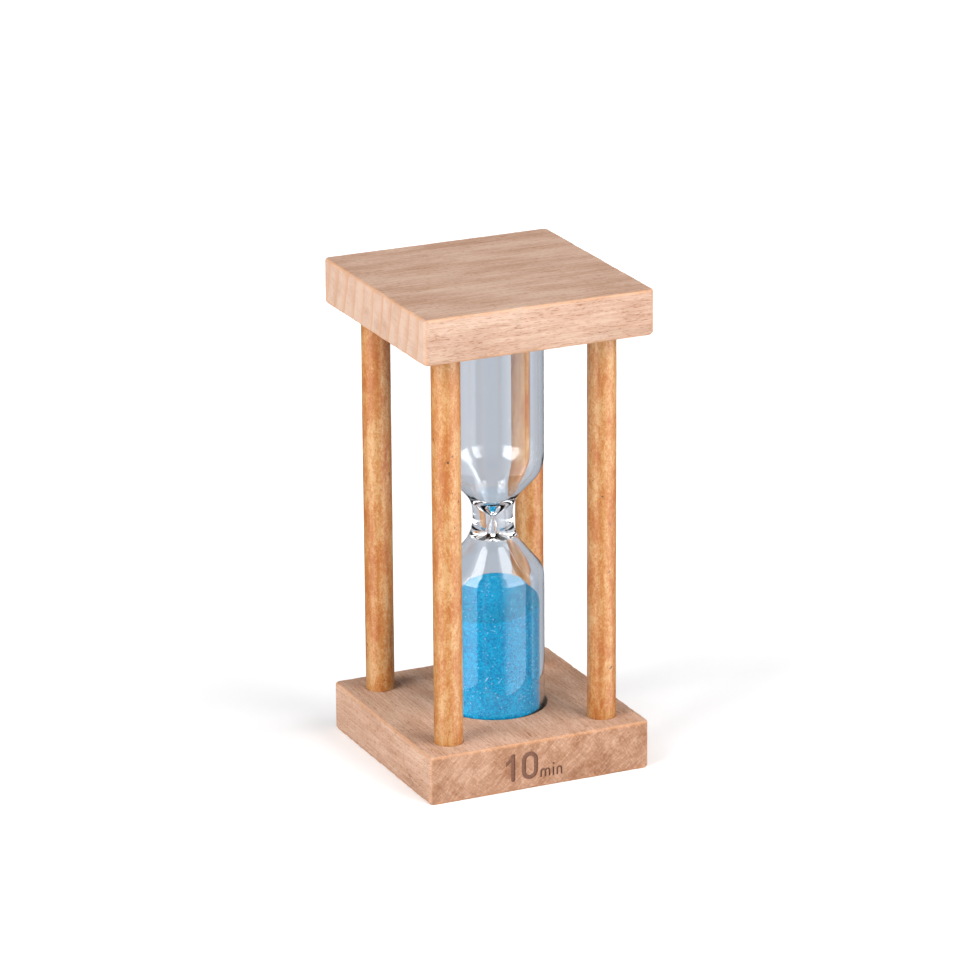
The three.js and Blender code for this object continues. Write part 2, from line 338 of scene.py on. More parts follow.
@dataclass(frozen=True)
class BeechFinish(Finish):
    """Smoothly sanded beech.

    Attributes:
        grain: which way the grain runs.
        pith: level and upward place of the centre of the growth rings, in mm.
        ring_spacing: width of one growth ring, in mm.
        pale: colour of the lightest wood.
        middle: colour between the two.
        dark: colour of the darkest flecks.
        burnished: colour of the worn edges.
        figure: how strongly the low blotches and hairline checks show.
        rings_long: how strongly the growth rings show on long grain.
        rings_end: how much more they show on end grain.
        late_wood: colour of the growth rings' dark edges.
        end_shade: how much darker end grain is.
        weave: how strongly the crossed dashes show on end grain.
    """

    grain: Grain
    pith: tuple[float, float]
    ring_spacing: float
    pale: Colour
    middle: Colour
    dark: Colour
    burnished: Colour
    figure: float
    rings_long: float
    rings_end: float
    late_wood: Colour
    end_shade: float
    weave: float

    def shader(self, sheet: Sheet, place: Sock, box: Box) -> Sock:
        """Shader of a board.

        Args:
            sheet: the empty sheet.
            place: position in mm.
            box: lowest and highest corner of the board, in metres.

        Returns:
            The shader.
        """
        end = self._end_grain(sheet)
        rings, rays = self._rings_and_rays(sheet, place)
        fibres = self._cloud(sheet, place, 0.09, 2.4, detail=3.0, roughness=0.6)
        flecks = self._cloud(sheet, place, 0.75, 6.0, detail=1.0).rise(0.55, 0.68) * (1.0 - end)
        pores = self._cloud(sheet, place, 1.6, 8.0, detail=1.0)
        dashes = self._weave(sheet, place) * end
        blotches = self._cloud(sheet, place, 0.06, 0.2, detail=2.0, twist=0.2)
        checks = self._checks(sheet, place) * (1.0 - end)
        tone = (
            0.24
            + (fibres - 0.5) * (1.1 - end * 0.6)
            + (blotches - 0.5) * self.figure
            + (pores - 0.5) * 0.4
            + rays * (end * 0.08 + 0.05)
            + flecks * 0.42
            + checks * 0.45
            # Darker end grain, partly the wood's own and partly painted shade on the board's end faces
            # (painted light on the top board, where it is below 0).
            + end * self.end_shade
            - dashes * self.weave
        ).clamped()
        wood = sheet.ramp(tone, ((0.0, self.pale), (0.45, self.middle), (1.0, self.dark)))
        late = (rings * (end * self.rings_end + self.rings_long)).clamped()
        ringed = sheet.blend(late, wood, self.late_wood)
        worn = self._worn_edges(sheet, place, box)
        colour = sheet.blend(worn * 0.45, ringed, self.burnished)
        height = 1.0 - (flecks * 0.35 + pores * 0.3 + fibres * 0.35 + checks * 0.8)
        return sheet.surface(
            Base_Color=colour,
            Roughness=0.56 + tone * 0.2 - worn * 0.08,
            Normal=sheet.relief(height, 0.05 * MM, 0.7),
            Specular_IOR_Level=0.16,
        )

    def _cloud(self, sheet: Sheet, place: Sock, along: float, across: float, **options: float) -> Sock:
        """Noise with that many features per mm along the grain and across it."""
        return sheet.cloud(place, self.grain.factors(along, across), **options)

    def _end_grain(self, sheet: Sheet) -> Sock:
        """1 on faces that cut across the grain, 0 on the others."""
        normal = sheet.node("ShaderNodeTexCoord", output="Normal")
        along, _, _ = self.grain.split(sheet, normal)
        return along.size().rise(0.55, 0.85)

    def _rings_and_rays(self, sheet: Sheet, place: Sock) -> tuple[Sock, Sock]:
        """Late wood of the growth rings round the pith, and the rays that cross them."""
        along, level, up = self.grain.split(sheet, place)
        level, up = level - self.pith[0], up - self.pith[1]
        wander = self._cloud(sheet, place, 0.02, 0.07, detail=2.0) - 0.5
        distance = (level * level + up * up) ** 0.5 + wander * 3.2
        count = distance / self.ring_spacing
        late = count.rest() ** 4.0
        ring_apart = 7.31  # in the noise, so that each ring has a shade of its own
        sockets = {"W": count.whole() * ring_apart, "Scale": 1.0, "Detail": 0.0}
        shade = sheet.node("ShaderNodeTexNoise", {"noise_dimensions": "1D"}, sockets, "Fac")
        around = up.angle_over(level) * (math.hypot(*self.pith) * 2.4)
        crossing = sheet.joined(around, distance * 0.16, along * 0.22)
        rays = sheet.cloud(crossing, detail=1.0).rise(0.54, 0.72)
        return late * (0.35 + shade), rays

    def _weave(self, sheet: Sheet, place: Sock) -> Sock:
        """Short pale dashes that cross on the slant, where rays and vessels are cut across."""
        along, level, up = self.grain.split(sheet, place)
        rising, falling = level + up, level - up
        first = sheet.cloud(sheet.joined(rising * 0.5, falling * 1.7, along * 0.3), detail=3.0)
        second = sheet.cloud(sheet.joined(rising * 2.2, falling * 0.7, along * 0.3), detail=3.0)
        first, second = first.rise(0.42, 0.7), second.rise(0.42, 0.7)
        broad = sheet.cloud(sheet.joined(rising * 0.05, falling * 0.28, along * 0.05))
        return first * 0.45 + second * 0.3 + (broad - 0.4) * 1.1

    def _checks(self, sheet: Sheet, place: Sock) -> Sock:
        """1 in the short hairline checks that lie here and there, 0 elsewhere."""
        seam = (self._cloud(sheet, place, 0.05, 0.34, detail=3.0, twist=0.3) - 0.5).size()
        where = self._cloud(sheet, place, 0.07, 0.16, detail=0.0).rise(0.6, 0.68)
        return seam.rise(0.012, 0.0) * where

    def _worn_edges(self, sheet: Sheet, place: Sock, box: Box) -> Sock:
        """1 on the edges of the board's box, unevenly, where handling has rubbed them, 0 elsewhere."""
        centre = (box[0] + box[1]) / (2 * MM)
        half = (box[1] - box[0]) / (2 * MM)
        depths = [half[i] - (value - centre[i]).size() for i, value in enumerate(sheet.parts(place))]
        low, high = depths[0].least(depths[1]), depths[0].most(depths[1])
        second = low.most(high.least(depths[2]))
        ragged = sheet.cloud(place, 0.9, detail=3.0)
        return (second + (ragged - 0.5) * 1.1).rise(0.75, 0.1)


@dataclass(frozen=True)
class ScorchedFinish(Finish):
    """Wood darkened in the bottom of the engraved mark.

    Attributes:
        brown: main colour.
        char: colour of the darkest fibres.
    """

    brown: Colour
    char: Colour

    def shader(self, sheet: Sheet, place: Sock) -> Sock:
        """Shader on an empty sheet, from the position in mm."""
        fibres = sheet.cloud(place, (2.6, 0.4, 2.6), detail=3.0)
        patches = sheet.cloud(place, 0.5, detail=1.0)
        depth = (fibres.rise(0.35, 0.7) * 0.6 + patches * 0.4).clamped()
        return sheet.surface(
            Base_Color=sheet.blend(depth, self.brown, self.char),
            Roughness=0.62 + fibres * 0.2,
            Normal=sheet.relief(fibres, 0.05 * MM, 0.6),
        )


@dataclass(frozen=True)
class StainedDowelFinish(Finish):
    """Honey stain that has soaked unevenly into a beech dowel.

    Attributes:
        honey: colour where little stain went in.
        amber: the usual colour.
        rust: colour where the stain pooled.
        speck: colour of the small dark spots.
    """

    honey: Colour
    amber: Colour
    rust: Colour
    speck: Colour

    def shader(self, sheet: Sheet, place: Sock) -> Sock:
        """Shader on an empty sheet, from the position in mm."""
        pools = sheet.cloud(place, (0.34, 0.34, 0.11), detail=3.0, roughness=0.62, twist=0.3)
        mottle = sheet.cloud(place, (1.5, 1.5, 0.9), detail=4.0, roughness=0.75)
        fibres = sheet.cloud(place, (4.0, 4.0, 0.16), detail=2.0)
        grit = sheet.cloud(place, (3.2, 3.2, 2.4), detail=1.0)
        specks = sheet.cloud(place, (1.1, 1.1, 0.8), detail=1.0).rise(0.75, 0.79)
        soaked = (
            0.48 + (pools - 0.5) * 2.5 + (mottle - 0.5) * 2.0 + (grit - 0.5) * 1.1 + (fibres - 0.5) * 0.5
        ).clamped()
        stain = sheet.ramp(soaked, ((0.0, self.honey), (0.5, self.amber), (1.0, self.rust)))
        height = fibres * 0.6 + mottle * 0.4
        return sheet.surface(
            Base_Color=sheet.blend(specks, stain, self.speck),
            Roughness=0.36 + soaked * 0.12,
            Normal=sheet.relief(height, 0.04 * MM, 0.45),
            Coat_Weight=0.5,
            Coat_Roughness=0.25,
        )


@dataclass(frozen=True)
class VialGlassFinish(Finish):
    """Clear lamp-worked glass, which lets the lamps through to what is behind it.

    Attributes:
        tint: colour that the glass gives to light.
        index: index of refraction.
        straight: share of a lamp's light that goes straight through. The rest is refracted.
    """

    tint: Colour
    index: float
    straight: float

    def shader(self, sheet: Sheet, place: Sock) -> Sock:
        """Shader on an empty sheet, from the position in mm."""
        draw_lines = sheet.cloud(place, (0.8, 0.8, 0.02), detail=1.0)
        glass = sheet.surface(
            Base_Color=self.tint,
            Roughness=0.0,
            IOR=self.index,
            Transmission_Weight=1.0,
            Normal=sheet.relief(draw_lines, 0.02 * MM, 0.3),
        )
        clear = sheet.node("ShaderNodeBsdfTransparent", None, {"Color": (self.straight,) * 3})
        shadow = sheet.node("ShaderNodeLightPath", output="Is Shadow Ray")
        sockets = {"Fac": shadow, "Shader": glass, "Shader_001": clear}
        return sheet.node("ShaderNodeMixShader", None, sockets)


@dataclass(frozen=True)
class SandFinish(Finish):
    """Dyed quartz sand, grain by grain.

    Attributes:
        deep: colour of the darkest grains.
        bright: colour of the lightest dyed grains.
        glint: colour of the grains that took no dye.
        grains_per_mm: how many grains lie in a millimetre.
        loose_shade: how much darker the loose grains on the heap look than those against the glass.
    """

    deep: Colour
    bright: Colour
    glint: Colour
    grains_per_mm: float
    loose_shade: float

    def shader(self, sheet: Sheet, place: Sock) -> Sock:
        """Shader on an empty sheet, from the position in mm."""
        cells = sheet.node("ShaderNodeTexVoronoi", None, {"Vector": place, "Scale": self.grains_per_mm})
        to_middle = Sock(sheet, cells.socket.node.outputs["Distance"])
        random_grain, second_random, _ = sheet.parts(Sock(sheet, cells.socket.node.outputs["Color"]))
        drifts = sheet.cloud(place, 0.25, detail=3.0)
        clumps = sheet.cloud(place, 1.2, detail=2.0, roughness=0.7)
        light = (random_grain * 0.8 + (clumps - 0.5) * 0.9 + (drifts - 0.4) * 0.4).clamped()
        # Pale cells: grains that took no dye, and also painted glints of light on the grains.
        undyed = second_random.rise(0.97, 0.98) * to_middle.rise(0.6, 0.35)
        _, _, upward = sheet.parts(sheet.node("ShaderNodeTexCoord", output="Normal"))
        # Painted shade: 1 where the sand faces upwards, so that the heap's top is darkened as if less lit.
        loose = upward.rise(0.1, 0.6)
        lit = sheet.blend(light, self.deep, self.bright)
        dyed = sheet.blend(loose * self.loose_shade, lit, (0.0, 0.0, 0.0))
        return sheet.surface(
            Base_Color=sheet.blend(undyed * 0.8, dyed, self.glint),
            Roughness=0.85 - undyed * 0.45,
            Normal=sheet.relief(1.0 - to_middle, 0.06 * MM, 0.7),
            Specular_IOR_Level=0.05,
        )


@dataclass(frozen=True)
class CloudedFinish(Finish):
    """Two colours mixed by one soft noise.

    Attributes:
        low: colour where the noise is low.
        high: colour where it is high.
        per_mm: features of the noise in a millimetre.
        detail: how many finer layers it has.
        edge: values of the noise between which the colours change.
        rough: roughness where the noise is low.
        rougher: how much rougher the surface is where it is high.
        bumps: depth in metres and strength of its relief.
        noise: more settings of the noise.
        sockets: more sockets of the shader.
    """

    low: Colour
    high: Colour
    per_mm: float
    detail: float
    rough: float
    rougher: float = 0.0
    edge: tuple[float, float] | None = None
    bumps: tuple[float, float] | None = None
    noise: tuple[tuple[str, float], ...] = ()
    sockets: tuple[tuple[str, float], ...] = ()

    def shader(self, sheet: Sheet, place: Sock) -> Sock:
        """Shader on an empty sheet, from the position in mm."""
        cloud = sheet.cloud(place, self.per_mm, self.detail, **dict(self.noise))
        sockets: dict[str, Feed] = dict(self.sockets)
        share = cloud.rise(*self.edge) if self.edge else cloud
        sockets["Base_Color"] = sheet.blend(share, self.low, self.high)
        sockets["Roughness"] = self.rough + cloud * self.rougher if self.rougher else self.rough
        if self.bumps:
            sockets["Normal"] = sheet.relief(cloud, *self.bumps)
        return sheet.surface(**sockets)


@dataclass(frozen=True)
class TableFinish(Finish):
    """Plain white matt table, which grows into an evenly lit white cove further out.

    Attributes:
        white: its colour.
        glow: colour of the light from below, under the object.
        cove_glow: colour of the light from below, far from it.
        cove: distances between which one turns into the other, in mm.
    """

    white: Colour
    glow: Colour
    cove_glow: Colour
    cove: tuple[float, float]

    def shader(self, sheet: Sheet, place: Sock) -> Sock:
        """Shader on an empty sheet, from the position in mm."""
        x, y, _ = sheet.parts(place)
        far = ((x * x + y * y) ** 0.5).rise(*self.cove)
        return sheet.surface(
            Base_Color=self.white,
            Roughness=0.9,
            Specular_IOR_Level=0.0,
            Emission_Color=sheet.blend(far, self.glow, self.cove_glow),
            Emission_Strength=1.0,
        )


# ---------------------------------------------------------------- mesh making


@dataclass(frozen=True)
class Corner:
    """A corner of an outline of radius and height, with the radius that rounds it."""

    radius: float
    height: float
    fillet: float = 0.0


def rounded(corners: Sequence[Corner], step: float = math.radians(6)) -> Outline:
    """Outline through the corners, each rounded by a tangent arc.

    Args:
        corners: the corners in order.
        step: largest turn between two points of an arc.

    Returns:
        The outline's points as (radius, height).
    """
    points: Outline = []
    for i, corner in enumerate(corners):
        at = Vector((corner.radius, corner.height))
        if corner.fillet == 0.0:
            points.append(tuple(at))
            continue
        before = (Vector((corners[i - 1].radius, corners[i - 1].height)) - at).normalized()
        after = (Vector((corners[i + 1].radius, corners[i + 1].height)) - at).normalized()
        half = before.angle(after) / 2
        centre = at + (before + after).normalized() * (corner.fillet / math.sin(half))
        reach = corner.fillet / math.tan(half)
        start, end = at + before * reach - centre, at + after * reach - centre
        turn = math.atan2(start.x * end.y - start.y * end.x, start.dot(end))
        steps = max(2, math.ceil(abs(turn) / step))
        for k in range(steps + 1):
            points.append(tuple(Matrix.Rotation(turn * k / steps, 2) @ start + centre))
    return points


def finer(outline: Outline, longest: float) -> Outline:
    """Outline with points added so that no stretch is longer than asked.

    Args:
        outline: points as (radius, height).
        longest: longest stretch, in metres.

    Returns:
        The finer outline.
    """
    points = [outline[0]]
    for (r0, z0), (r1, z1) in zip(outline, outline[1:]):
        steps = max(1, math.ceil(math.hypot(r1 - r0, z1 - z0) / longest))
        points += [(r0 + (r1 - r0) * k / steps, z0 + (z1 - z0) * k / steps) for k in range(1, steps + 1)]
    return points


def polar(radius: float, angle: float, height: float) -> Vector:
    """Point at a distance and direction from the upright axis."""
    return Vector((radius * math.cos(angle), radius * math.sin(angle), height))


def axis_of(box: Box) -> Vector:
    """Foot of the upright axis through the middle of a box."""
    low, high = box
    return Vector(((low.x + high.x) / 2, (low.y + high.y) / 2, 0.0))


def band(low: int, high: int, count: int) -> list[tuple[int, int, int, int]]:
    """Faces between two closed loops of points, given the number of each loop's first point."""
    sides = [(k, (k + 1) % count) for k in range(count)]
    return [(low + k, low + n, high + n, high + k) for k, n in sides]


def mesh_piece(
    name: str,
    vertices: Iterable[Sequence[float]],
    faces: Iterable[Sequence[int]],
    material: bpy.types.Material | None = None,
    sharp: float = CRISP_ANGLE,
) -> bpy.types.Object:
    """Make a smooth-shaded mesh object.

    Args:
        name: the piece's name.
        vertices: points, in metres.
        faces: each face's points, by number.
        material: its finish.
        sharp: angle in degrees above which an edge stays crisp.

    Returns:
        The object, linked to the scene.
    """
    mesh = bpy.data.meshes.new(name)
    mesh.from_pydata([tuple(v) for v in vertices], [], [tuple(f) for f in faces])
    mesh.update()
    mesh.shade_smooth()
    mesh.set_sharp_from_angle(angle=math.radians(sharp))
    if material:
        mesh.materials.append(material)
    made = bpy.data.objects.new(name, mesh)
    bpy.context.scene.collection.objects.link(made)
    return made


Wobble = Callable[[float, float, float], tuple[float, float]]


def still(radius: float, height: float, angle: float) -> tuple[float, float]:
    """No unevenness at all."""
    return radius, height


def turned(
    name: str,
    outline: Outline,
    segments: int,
    centre: Vector,
    wobble: Wobble = still,
    material: bpy.types.Material | None = None,
    sharp: float = CRISP_ANGLE,
) -> bpy.types.Object:
    """Turn an outline about an upright axis.

    Args:
        name: the piece's name.
        outline: points as (radius, height), starting and ending on the axis, anticlockwise.
        segments: how many facets round the axis.
        centre: a point on the axis, whose height is added to the outline's.
        wobble: gives a point's uneven radius and height.
        material: its finish.
        sharp: angle in degrees above which an edge stays crisp.

    Returns:
        The object.
    """
    vertices = [Vector((0, 0, outline[0][1])) + centre]
    for radius, height in outline[1:-1]:
        for k in range(segments):
            angle = math.tau * k / segments
            r, z = wobble(radius, height, angle)
            vertices.append(polar(r, angle, z) + centre)
    vertices.append(Vector((0, 0, outline[-1][1])) + centre)
    top = len(vertices) - 1
    rows = list(range(1, top, segments))
    sides = [(k, (k + 1) % segments) for k in range(segments)]
    faces = [(0, rows[0] + n, rows[0] + k) for k, n in sides]
    for low, high in zip(rows, rows[1:]):
        faces += band(low, high, segments)
    faces += [(top, rows[-1] + k, rows[-1] + n) for k, n in sides]
    return mesh_piece(name, vertices, faces, material, sharp)


def prism(name: str, outline: Outline, front: float, back: float) -> bpy.types.Object:
    """Bar of one section between two depths.

    Args:
        name: the piece's name.
        outline: points as (x, z), anticlockwise as seen from the front.
        front: y of its front end.
        back: y of its back end.

    Returns:
        The object.
    """
    count = len(outline)
    vertices = [(x, front, z) for x, z in outline] + [(x, back, z) for x, z in outline]
    faces = [tuple(range(count)), tuple(reversed(range(count, 2 * count)))]
    faces += [(k, k + count, (k + 1) % count + count, (k + 1) % count) for k in range(count)]
    return mesh_piece(name, vertices, faces)


def hollow_prism(
    name: str,
    outer: Outline,
    inner: Outline,
    front: float,
    back: float,
) -> bpy.types.Object:
    """Ring-shaped bar between two depths.

    Args:
        name: the piece's name.
        outer: points of the outside as (x, z), anticlockwise as seen from the front.
        inner: as many points of the hole, in the same order.
        front: y of its front end.
        back: y of its back end.

    Returns:
        The object.
    """
    count = len(outer)
    loops = [(outer, front), (inner, front), (inner, back), (outer, back)]
    vertices = [(x, y, z) for points, y in loops for x, z in points]
    faces = []
    for ring in range(4):
        faces += band(ring * count, (ring + 1) % 4 * count, count)
    return mesh_piece(name, vertices, faces)


def carved(body: bpy.types.Object, tools: Sequence[bpy.types.Object]) -> bpy.types.Object:
    """Cut every tool out of a body. The cut faces take the tool's material.

    Args:
        body: the piece that is cut, changed in place.
        tools: the cutting pieces, which are used up.

    Returns:
        The body.
    """
    for tool in tools:
        cut = body.modifiers.new(tool.name, "BOOLEAN")
        cut.operation = "DIFFERENCE"
        cut.solver = "EXACT"
        cut.material_mode = "TRANSFER"
        cut.object = tool
    whole = bpy.data.meshes.new_from_object(body.evaluated_get(bpy.context.evaluated_depsgraph_get()))
    body.modifiers.clear()
    body.data = whole
    whole.shade_smooth()
    whole.set_sharp_from_angle(angle=math.radians(CRISP_ANGLE))
    for tool in tools:
        bpy.data.objects.remove(tool)
    return body


def hashed(x: float, y: float, z: float, per_mm: float) -> float:
    """Smooth noise between -1 and 1, with the given features per millimetre."""
    return noise.noise(Vector((x, y, z)) * (per_mm / MM))


# ---------------------------------------------------------------- sub-assemblies


@dataclass
class Bores:
    """Sockets and seat that are bored into a board.

    Attributes:
        posts: the four post axes.
        post_radius: radius of a dowel.
        socket_depth: depth of a socket.
        seat_radius: radius of the vial's seat.
        seat_depth: depth of the seat.
        seat_axis: the seat's centre.
        socket_gap: how much wider than the dowel a socket is.
        torn: how far the fibres are torn round the seat's rim.
        rim: height of the band at the face where they are torn.
    """

    posts: list[Vector]
    post_radius: float
    socket_depth: float
    seat_radius: float
    seat_depth: float
    seat_axis: Vector
    socket_gap: float = 0.06 * MM
    torn: float = 0.16 * MM
    rim: float = 0.35 * MM

    def tools(self, face: float, inwards: float, material: bpy.types.Material) -> list[bpy.types.Object]:
        """Cutting tools.

        Args:
            face: height of the face that is bored.
            inwards: +1 or -1, the upward direction that leads into the wood.
            material: finish of the bored walls.

        Returns:
            One tool for each socket and one for the seat.
        """
        width = self.post_radius + self.socket_gap
        holes = [(f"socket_{i}", width, self.socket_depth, 0.0, axis) for i, axis in enumerate(self.posts)]
        holes.append(("seat", self.seat_radius, self.seat_depth, self.torn, self.seat_axis))
        tools = [self._drill(*hole, face, inwards) for hole in holes]
        for tool in tools:
            tool.data.materials.append(material)
        return tools

    def _drill(
        self,
        name: str,
        radius: float,
        depth: float,
        torn: float,
        axis: Vector,
        face: float,
        inwards: float,
    ) -> bpy.types.Object:
        """One drill, wider and uneven where it leaves the wood if the rim is torn.

        Args:
            name: the tool's name.
            radius: radius of the hole.
            depth: its depth.
            torn: how far the rim is torn.
            axis: the hole's centre.
            face: height of the face.
            inwards: +1 or -1, the upward direction that leads into the wood.

        Returns:
            The tool.
        """

        def tear(r: float, z: float, angle: float) -> tuple[float, float]:
            """Widen the rim unevenly."""
            deep = (z - face) * inwards > 0.9 * self.rim
            if r == 0.0 or torn == 0.0 or deep:
                return r, z
            bite = hashed(r * math.cos(angle), r * math.sin(angle), face, 0.9)
            return r + torn * (0.5 + max(0.0, bite) * 1.6), z

        wall = [(radius, d) for d in (depth, self.rim, 0.0, -OVERRUN)]
        outline = [(r, face + inwards * d) for r, d in [(0.0, depth), *wall, (0.0, -OVERRUN)]]
        if inwards > 0:
            outline.reverse()
        return turned(name, outline, 96, axis, tear)


@dataclass
class MinuteMark:
    """The number 10 with a small minute unit, engraved in single strokes.

    Attributes:
        face: y of the face it is cut into.
        middle: height of the face's middle.
        left: left end of the mark.
        depth: how deep it is cut.
        height: height of a numeral.
        width: width of the nought.
        stroke: stroke of the numerals.
        gap: space between the numerals.
        flag: reach of the one's flag.
        unit_height: height of the small letters.
        unit_width: width of one arch of a small letter.
        unit_stroke: stroke of the small letters.
        unit_gap: space between the small letters.
        dot_rise: height of the dot over its stem.
    """

    face: float
    middle: float
    left: float = -8.0 * MM
    depth: float = 0.2 * MM
    height: float = 6.1 * MM
    width: float = 3.7 * MM
    stroke: float = 0.95 * MM
    gap: float = 1.5 * MM
    flag: float = 2.1 * MM
    unit_height: float = 1.9 * MM
    unit_width: float = 1.35 * MM
    unit_stroke: float = 0.38 * MM
    unit_gap: float = 0.5 * MM
    dot_rise: float = 0.7 * MM

    @property
    def base(self) -> float:
        """Height of the numerals' feet."""
        return self.middle - self.height / 2

    def tools(self, material: bpy.types.Material) -> list[bpy.types.Object]:
        """Cutting tools, one for each stroke, in the finish of the engraved faces."""
        nought_left = self.left + self.flag + self.gap
        unit_left = nought_left + self.width + self.unit_gap
        pitch = self.unit_width - self.unit_stroke
        stem_left = unit_left + pitch + self.unit_width + self.unit_gap
        tools = [*self._one(self.left), self._nought(nought_left)]
        tools += [self._arch("m_first", unit_left), self._arch("m_second", unit_left + pitch)]
        tools += self._small_i(stem_left)
        tools.append(self._arch("n_arch", stem_left + self.unit_stroke + self.unit_gap))
        for tool in tools:
            tool.data.materials.append(material)
        return tools

    def _bar(self, name: str, outline: Outline) -> bpy.types.Object:
        """Tool of one outline, standing out of the face and as deep as the mark."""
        points = [(x, z + self.base) for x, z in outline]
        return prism(name, points, self.face - OVERRUN, self.face + self.depth)

    @staticmethod
    def _slot(left: float, width: float, bottom: float, height: float, steps: int = 10) -> Outline:
        """Upright outline with half-round ends.

        Args:
            left: its left side.
            width: its width.
            bottom: its lowest point.
            height: its height.
            steps: points in each half-round end.

        Returns:
            The points, anticlockwise.
        """
        radius = width / 2
        points = []
        for centre, first in ((bottom + height - radius, 0.0), (bottom + radius, math.pi)):
            for k in range(steps + 1):
                angle = first + math.pi * k / steps
                points.append((left + radius + radius * math.cos(angle), centre + radius * math.sin(angle)))
        return points

    def _one(self, left: float) -> list[bpy.types.Object]:
        """Stem and flag of the one."""
        stem = left + self.flag - self.stroke
        flag = [
            (stem + self.stroke, self.height),
            (left, self.height - self.flag + self.stroke / 2),
            (left, self.height - self.flag - self.stroke / 2),
            (stem + self.stroke, self.height - self.stroke),
        ]
        upright = self._slot(stem, self.stroke, 0.0, self.height)
        return [self._bar("one_stem", upright), self._bar("one_flag", flag)]

    def _nought(self, left: float) -> bpy.types.Object:
        """Ring of the nought."""
        stroke = self.stroke
        outer = self._slot(left, self.width, self.base, self.height)
        inner = self._slot(
            left + stroke, self.width - 2 * stroke, self.base + stroke, self.height - 2 * stroke
        )
        return hollow_prism("nought", outer, inner, self.face - OVERRUN, self.face + self.depth)

    def _arch(self, name: str, left: float, steps: int = 10) -> bpy.types.Object:
        """Two legs joined by a half ring of so many steps."""
        outer, thick = self.unit_width / 2, self.unit_stroke
        middle, spring = left + outer, self.unit_height - outer
        turns = [math.pi * k / steps for k in range(steps + 1)]
        points = [(left + self.unit_width, 0.0)]
        points += [(middle + outer * math.cos(a), spring + outer * math.sin(a)) for a in turns]
        points += [(left, 0.0), (left + thick, 0.0)]
        inner = outer - thick
        points += [(middle + inner * math.cos(a), spring + inner * math.sin(a)) for a in reversed(turns)]
        points.append((left + self.unit_width - thick, 0.0))
        return self._bar(name, points)

    def _small_i(self, left: float) -> list[bpy.types.Object]:
        """Stem and dot of the small i."""
        thick = self.unit_stroke
        stem = self._slot(left, thick, 0.0, self.unit_height)
        dot = self._slot(left, thick, self.unit_height + self.dot_rise - thick / 2, thick * 1.2)
        return [self._bar("i_stem", stem), self._bar("i_dot", dot)]


@dataclass
class Board:
    """A square board with rounded corners and hand-eased edges.

    Attributes:
        name: the piece's name.
        node: the CAD node it stands for.
        finish: its wood.
        bores: the holes in it.
        opens_up: True if it is bored from above.
        mark: the engraved mark, if it has one.
        scorch: finish of that mark.
        corner: radius of its upright corners.
        ease: radius of its edges.
        wear: how far the edges are worn.
        flat_edge: width of the flat strip inside each eased edge.
    """

    name: str
    node: str
    finish: BeechFinish
    bores: Bores
    opens_up: bool
    mark: MinuteMark | None = None
    scorch: ScorchedFinish | None = None
    corner: float = 1.3 * MM
    ease: float = 0.5 * MM
    wear: float = 0.6 * MM
    flat_edge: float = 0.15 * MM

    def build(self) -> bpy.types.Object:
        """Make, bore and engrave the board, and let it stand for its node."""
        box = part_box(self.node)
        wood = self.finish.material(box=box)
        board = self._blank(box, wood)
        face, inwards = (box[1].z, -1.0) if self.opens_up else (box[0].z, 1.0)
        tools = self.bores.tools(face, inwards, wood)
        if self.mark and self.scorch:
            tools += self.mark.tools(self.scorch.material())
        carved(board, tools)
        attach(board, "frame")
        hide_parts(self.node)
        return board

    def _blank(self, box: Box, wood: bpy.types.Material) -> bpy.types.Object:
        """The board before it is bored, between the corners of its box."""
        rim = self._rim((box[1].x - box[0].x) / 2)
        vertices: list[tuple[float, float, float]] = []
        levels = self._levels(box[0].z, box[1].z)
        for inset, height, rough in levels:
            for x, y, nx, ny in rim:
                worn = inset
                if rough > 0.0:
                    broad, fine = hashed(x, y, height, 0.45), hashed(y, x, height, 1.3)
                    worn += rough * self.wear * (max(0.0, broad - 0.12) + 0.4 * max(0.0, fine))
                vertices.append((x - nx * worn, y - ny * worn, height))
        count = len(rim)
        faces = [tuple(reversed(range(count)))]
        for level in range(len(levels) - 1):
            faces += band(level * count, (level + 1) * count, count)
        faces.append(tuple(range((len(levels) - 1) * count, len(levels) * count)))
        return mesh_piece(self.name, vertices, faces, wood)

    def _rim(self, half: float, pitch: float = 0.9 * MM) -> list[tuple[float, float, float, float]]:
        """Points round the board with their outward directions.

        Args:
            half: half the board's side.
            pitch: space between points on a straight side.

        Returns:
            (x, y, outward x, outward y) for each point, anticlockwise.
        """
        arm = half - self.corner
        steps, turns = math.ceil(2 * arm / pitch), 8
        points = []
        for side in range(4):
            turn = Matrix.Rotation(side * math.pi / 2, 2)
            out = turn @ Vector((1.0, 0.0))
            for k in range(1, steps):
                at = turn @ Vector((half, -arm + 2 * arm * k / steps))
                points.append((*at, *out))
            for k in range(turns + 1):
                ray = turn @ (Matrix.Rotation(math.pi / 2 * k / turns, 2) @ Vector((1.0, 0.0)))
                at = turn @ Vector((arm, arm)) + ray * self.corner
                points.append((*at, *ray))
        return points

    def _levels(self, bottom: float, top: float) -> list[tuple[float, float, float]]:
        """Inset, height and roughness of each loop from the bottom face to the top face."""
        steps = 5
        arc = [math.pi / 2 * k / steps for k in range(steps + 1)]
        reach = self.ease
        ease = [(reach * (1 - math.sin(a)), reach * (1 - math.cos(a)), math.sin(2 * a)) for a in arc]
        flat = reach + self.flat_edge
        lower = [(flat, bottom, 0.0)] + [(i, bottom + h, r) for i, h, r in ease]
        upper = [(i, top - h, r) for i, h, r in reversed(ease)] + [(flat, top, 0.0)]
        return lower + upper


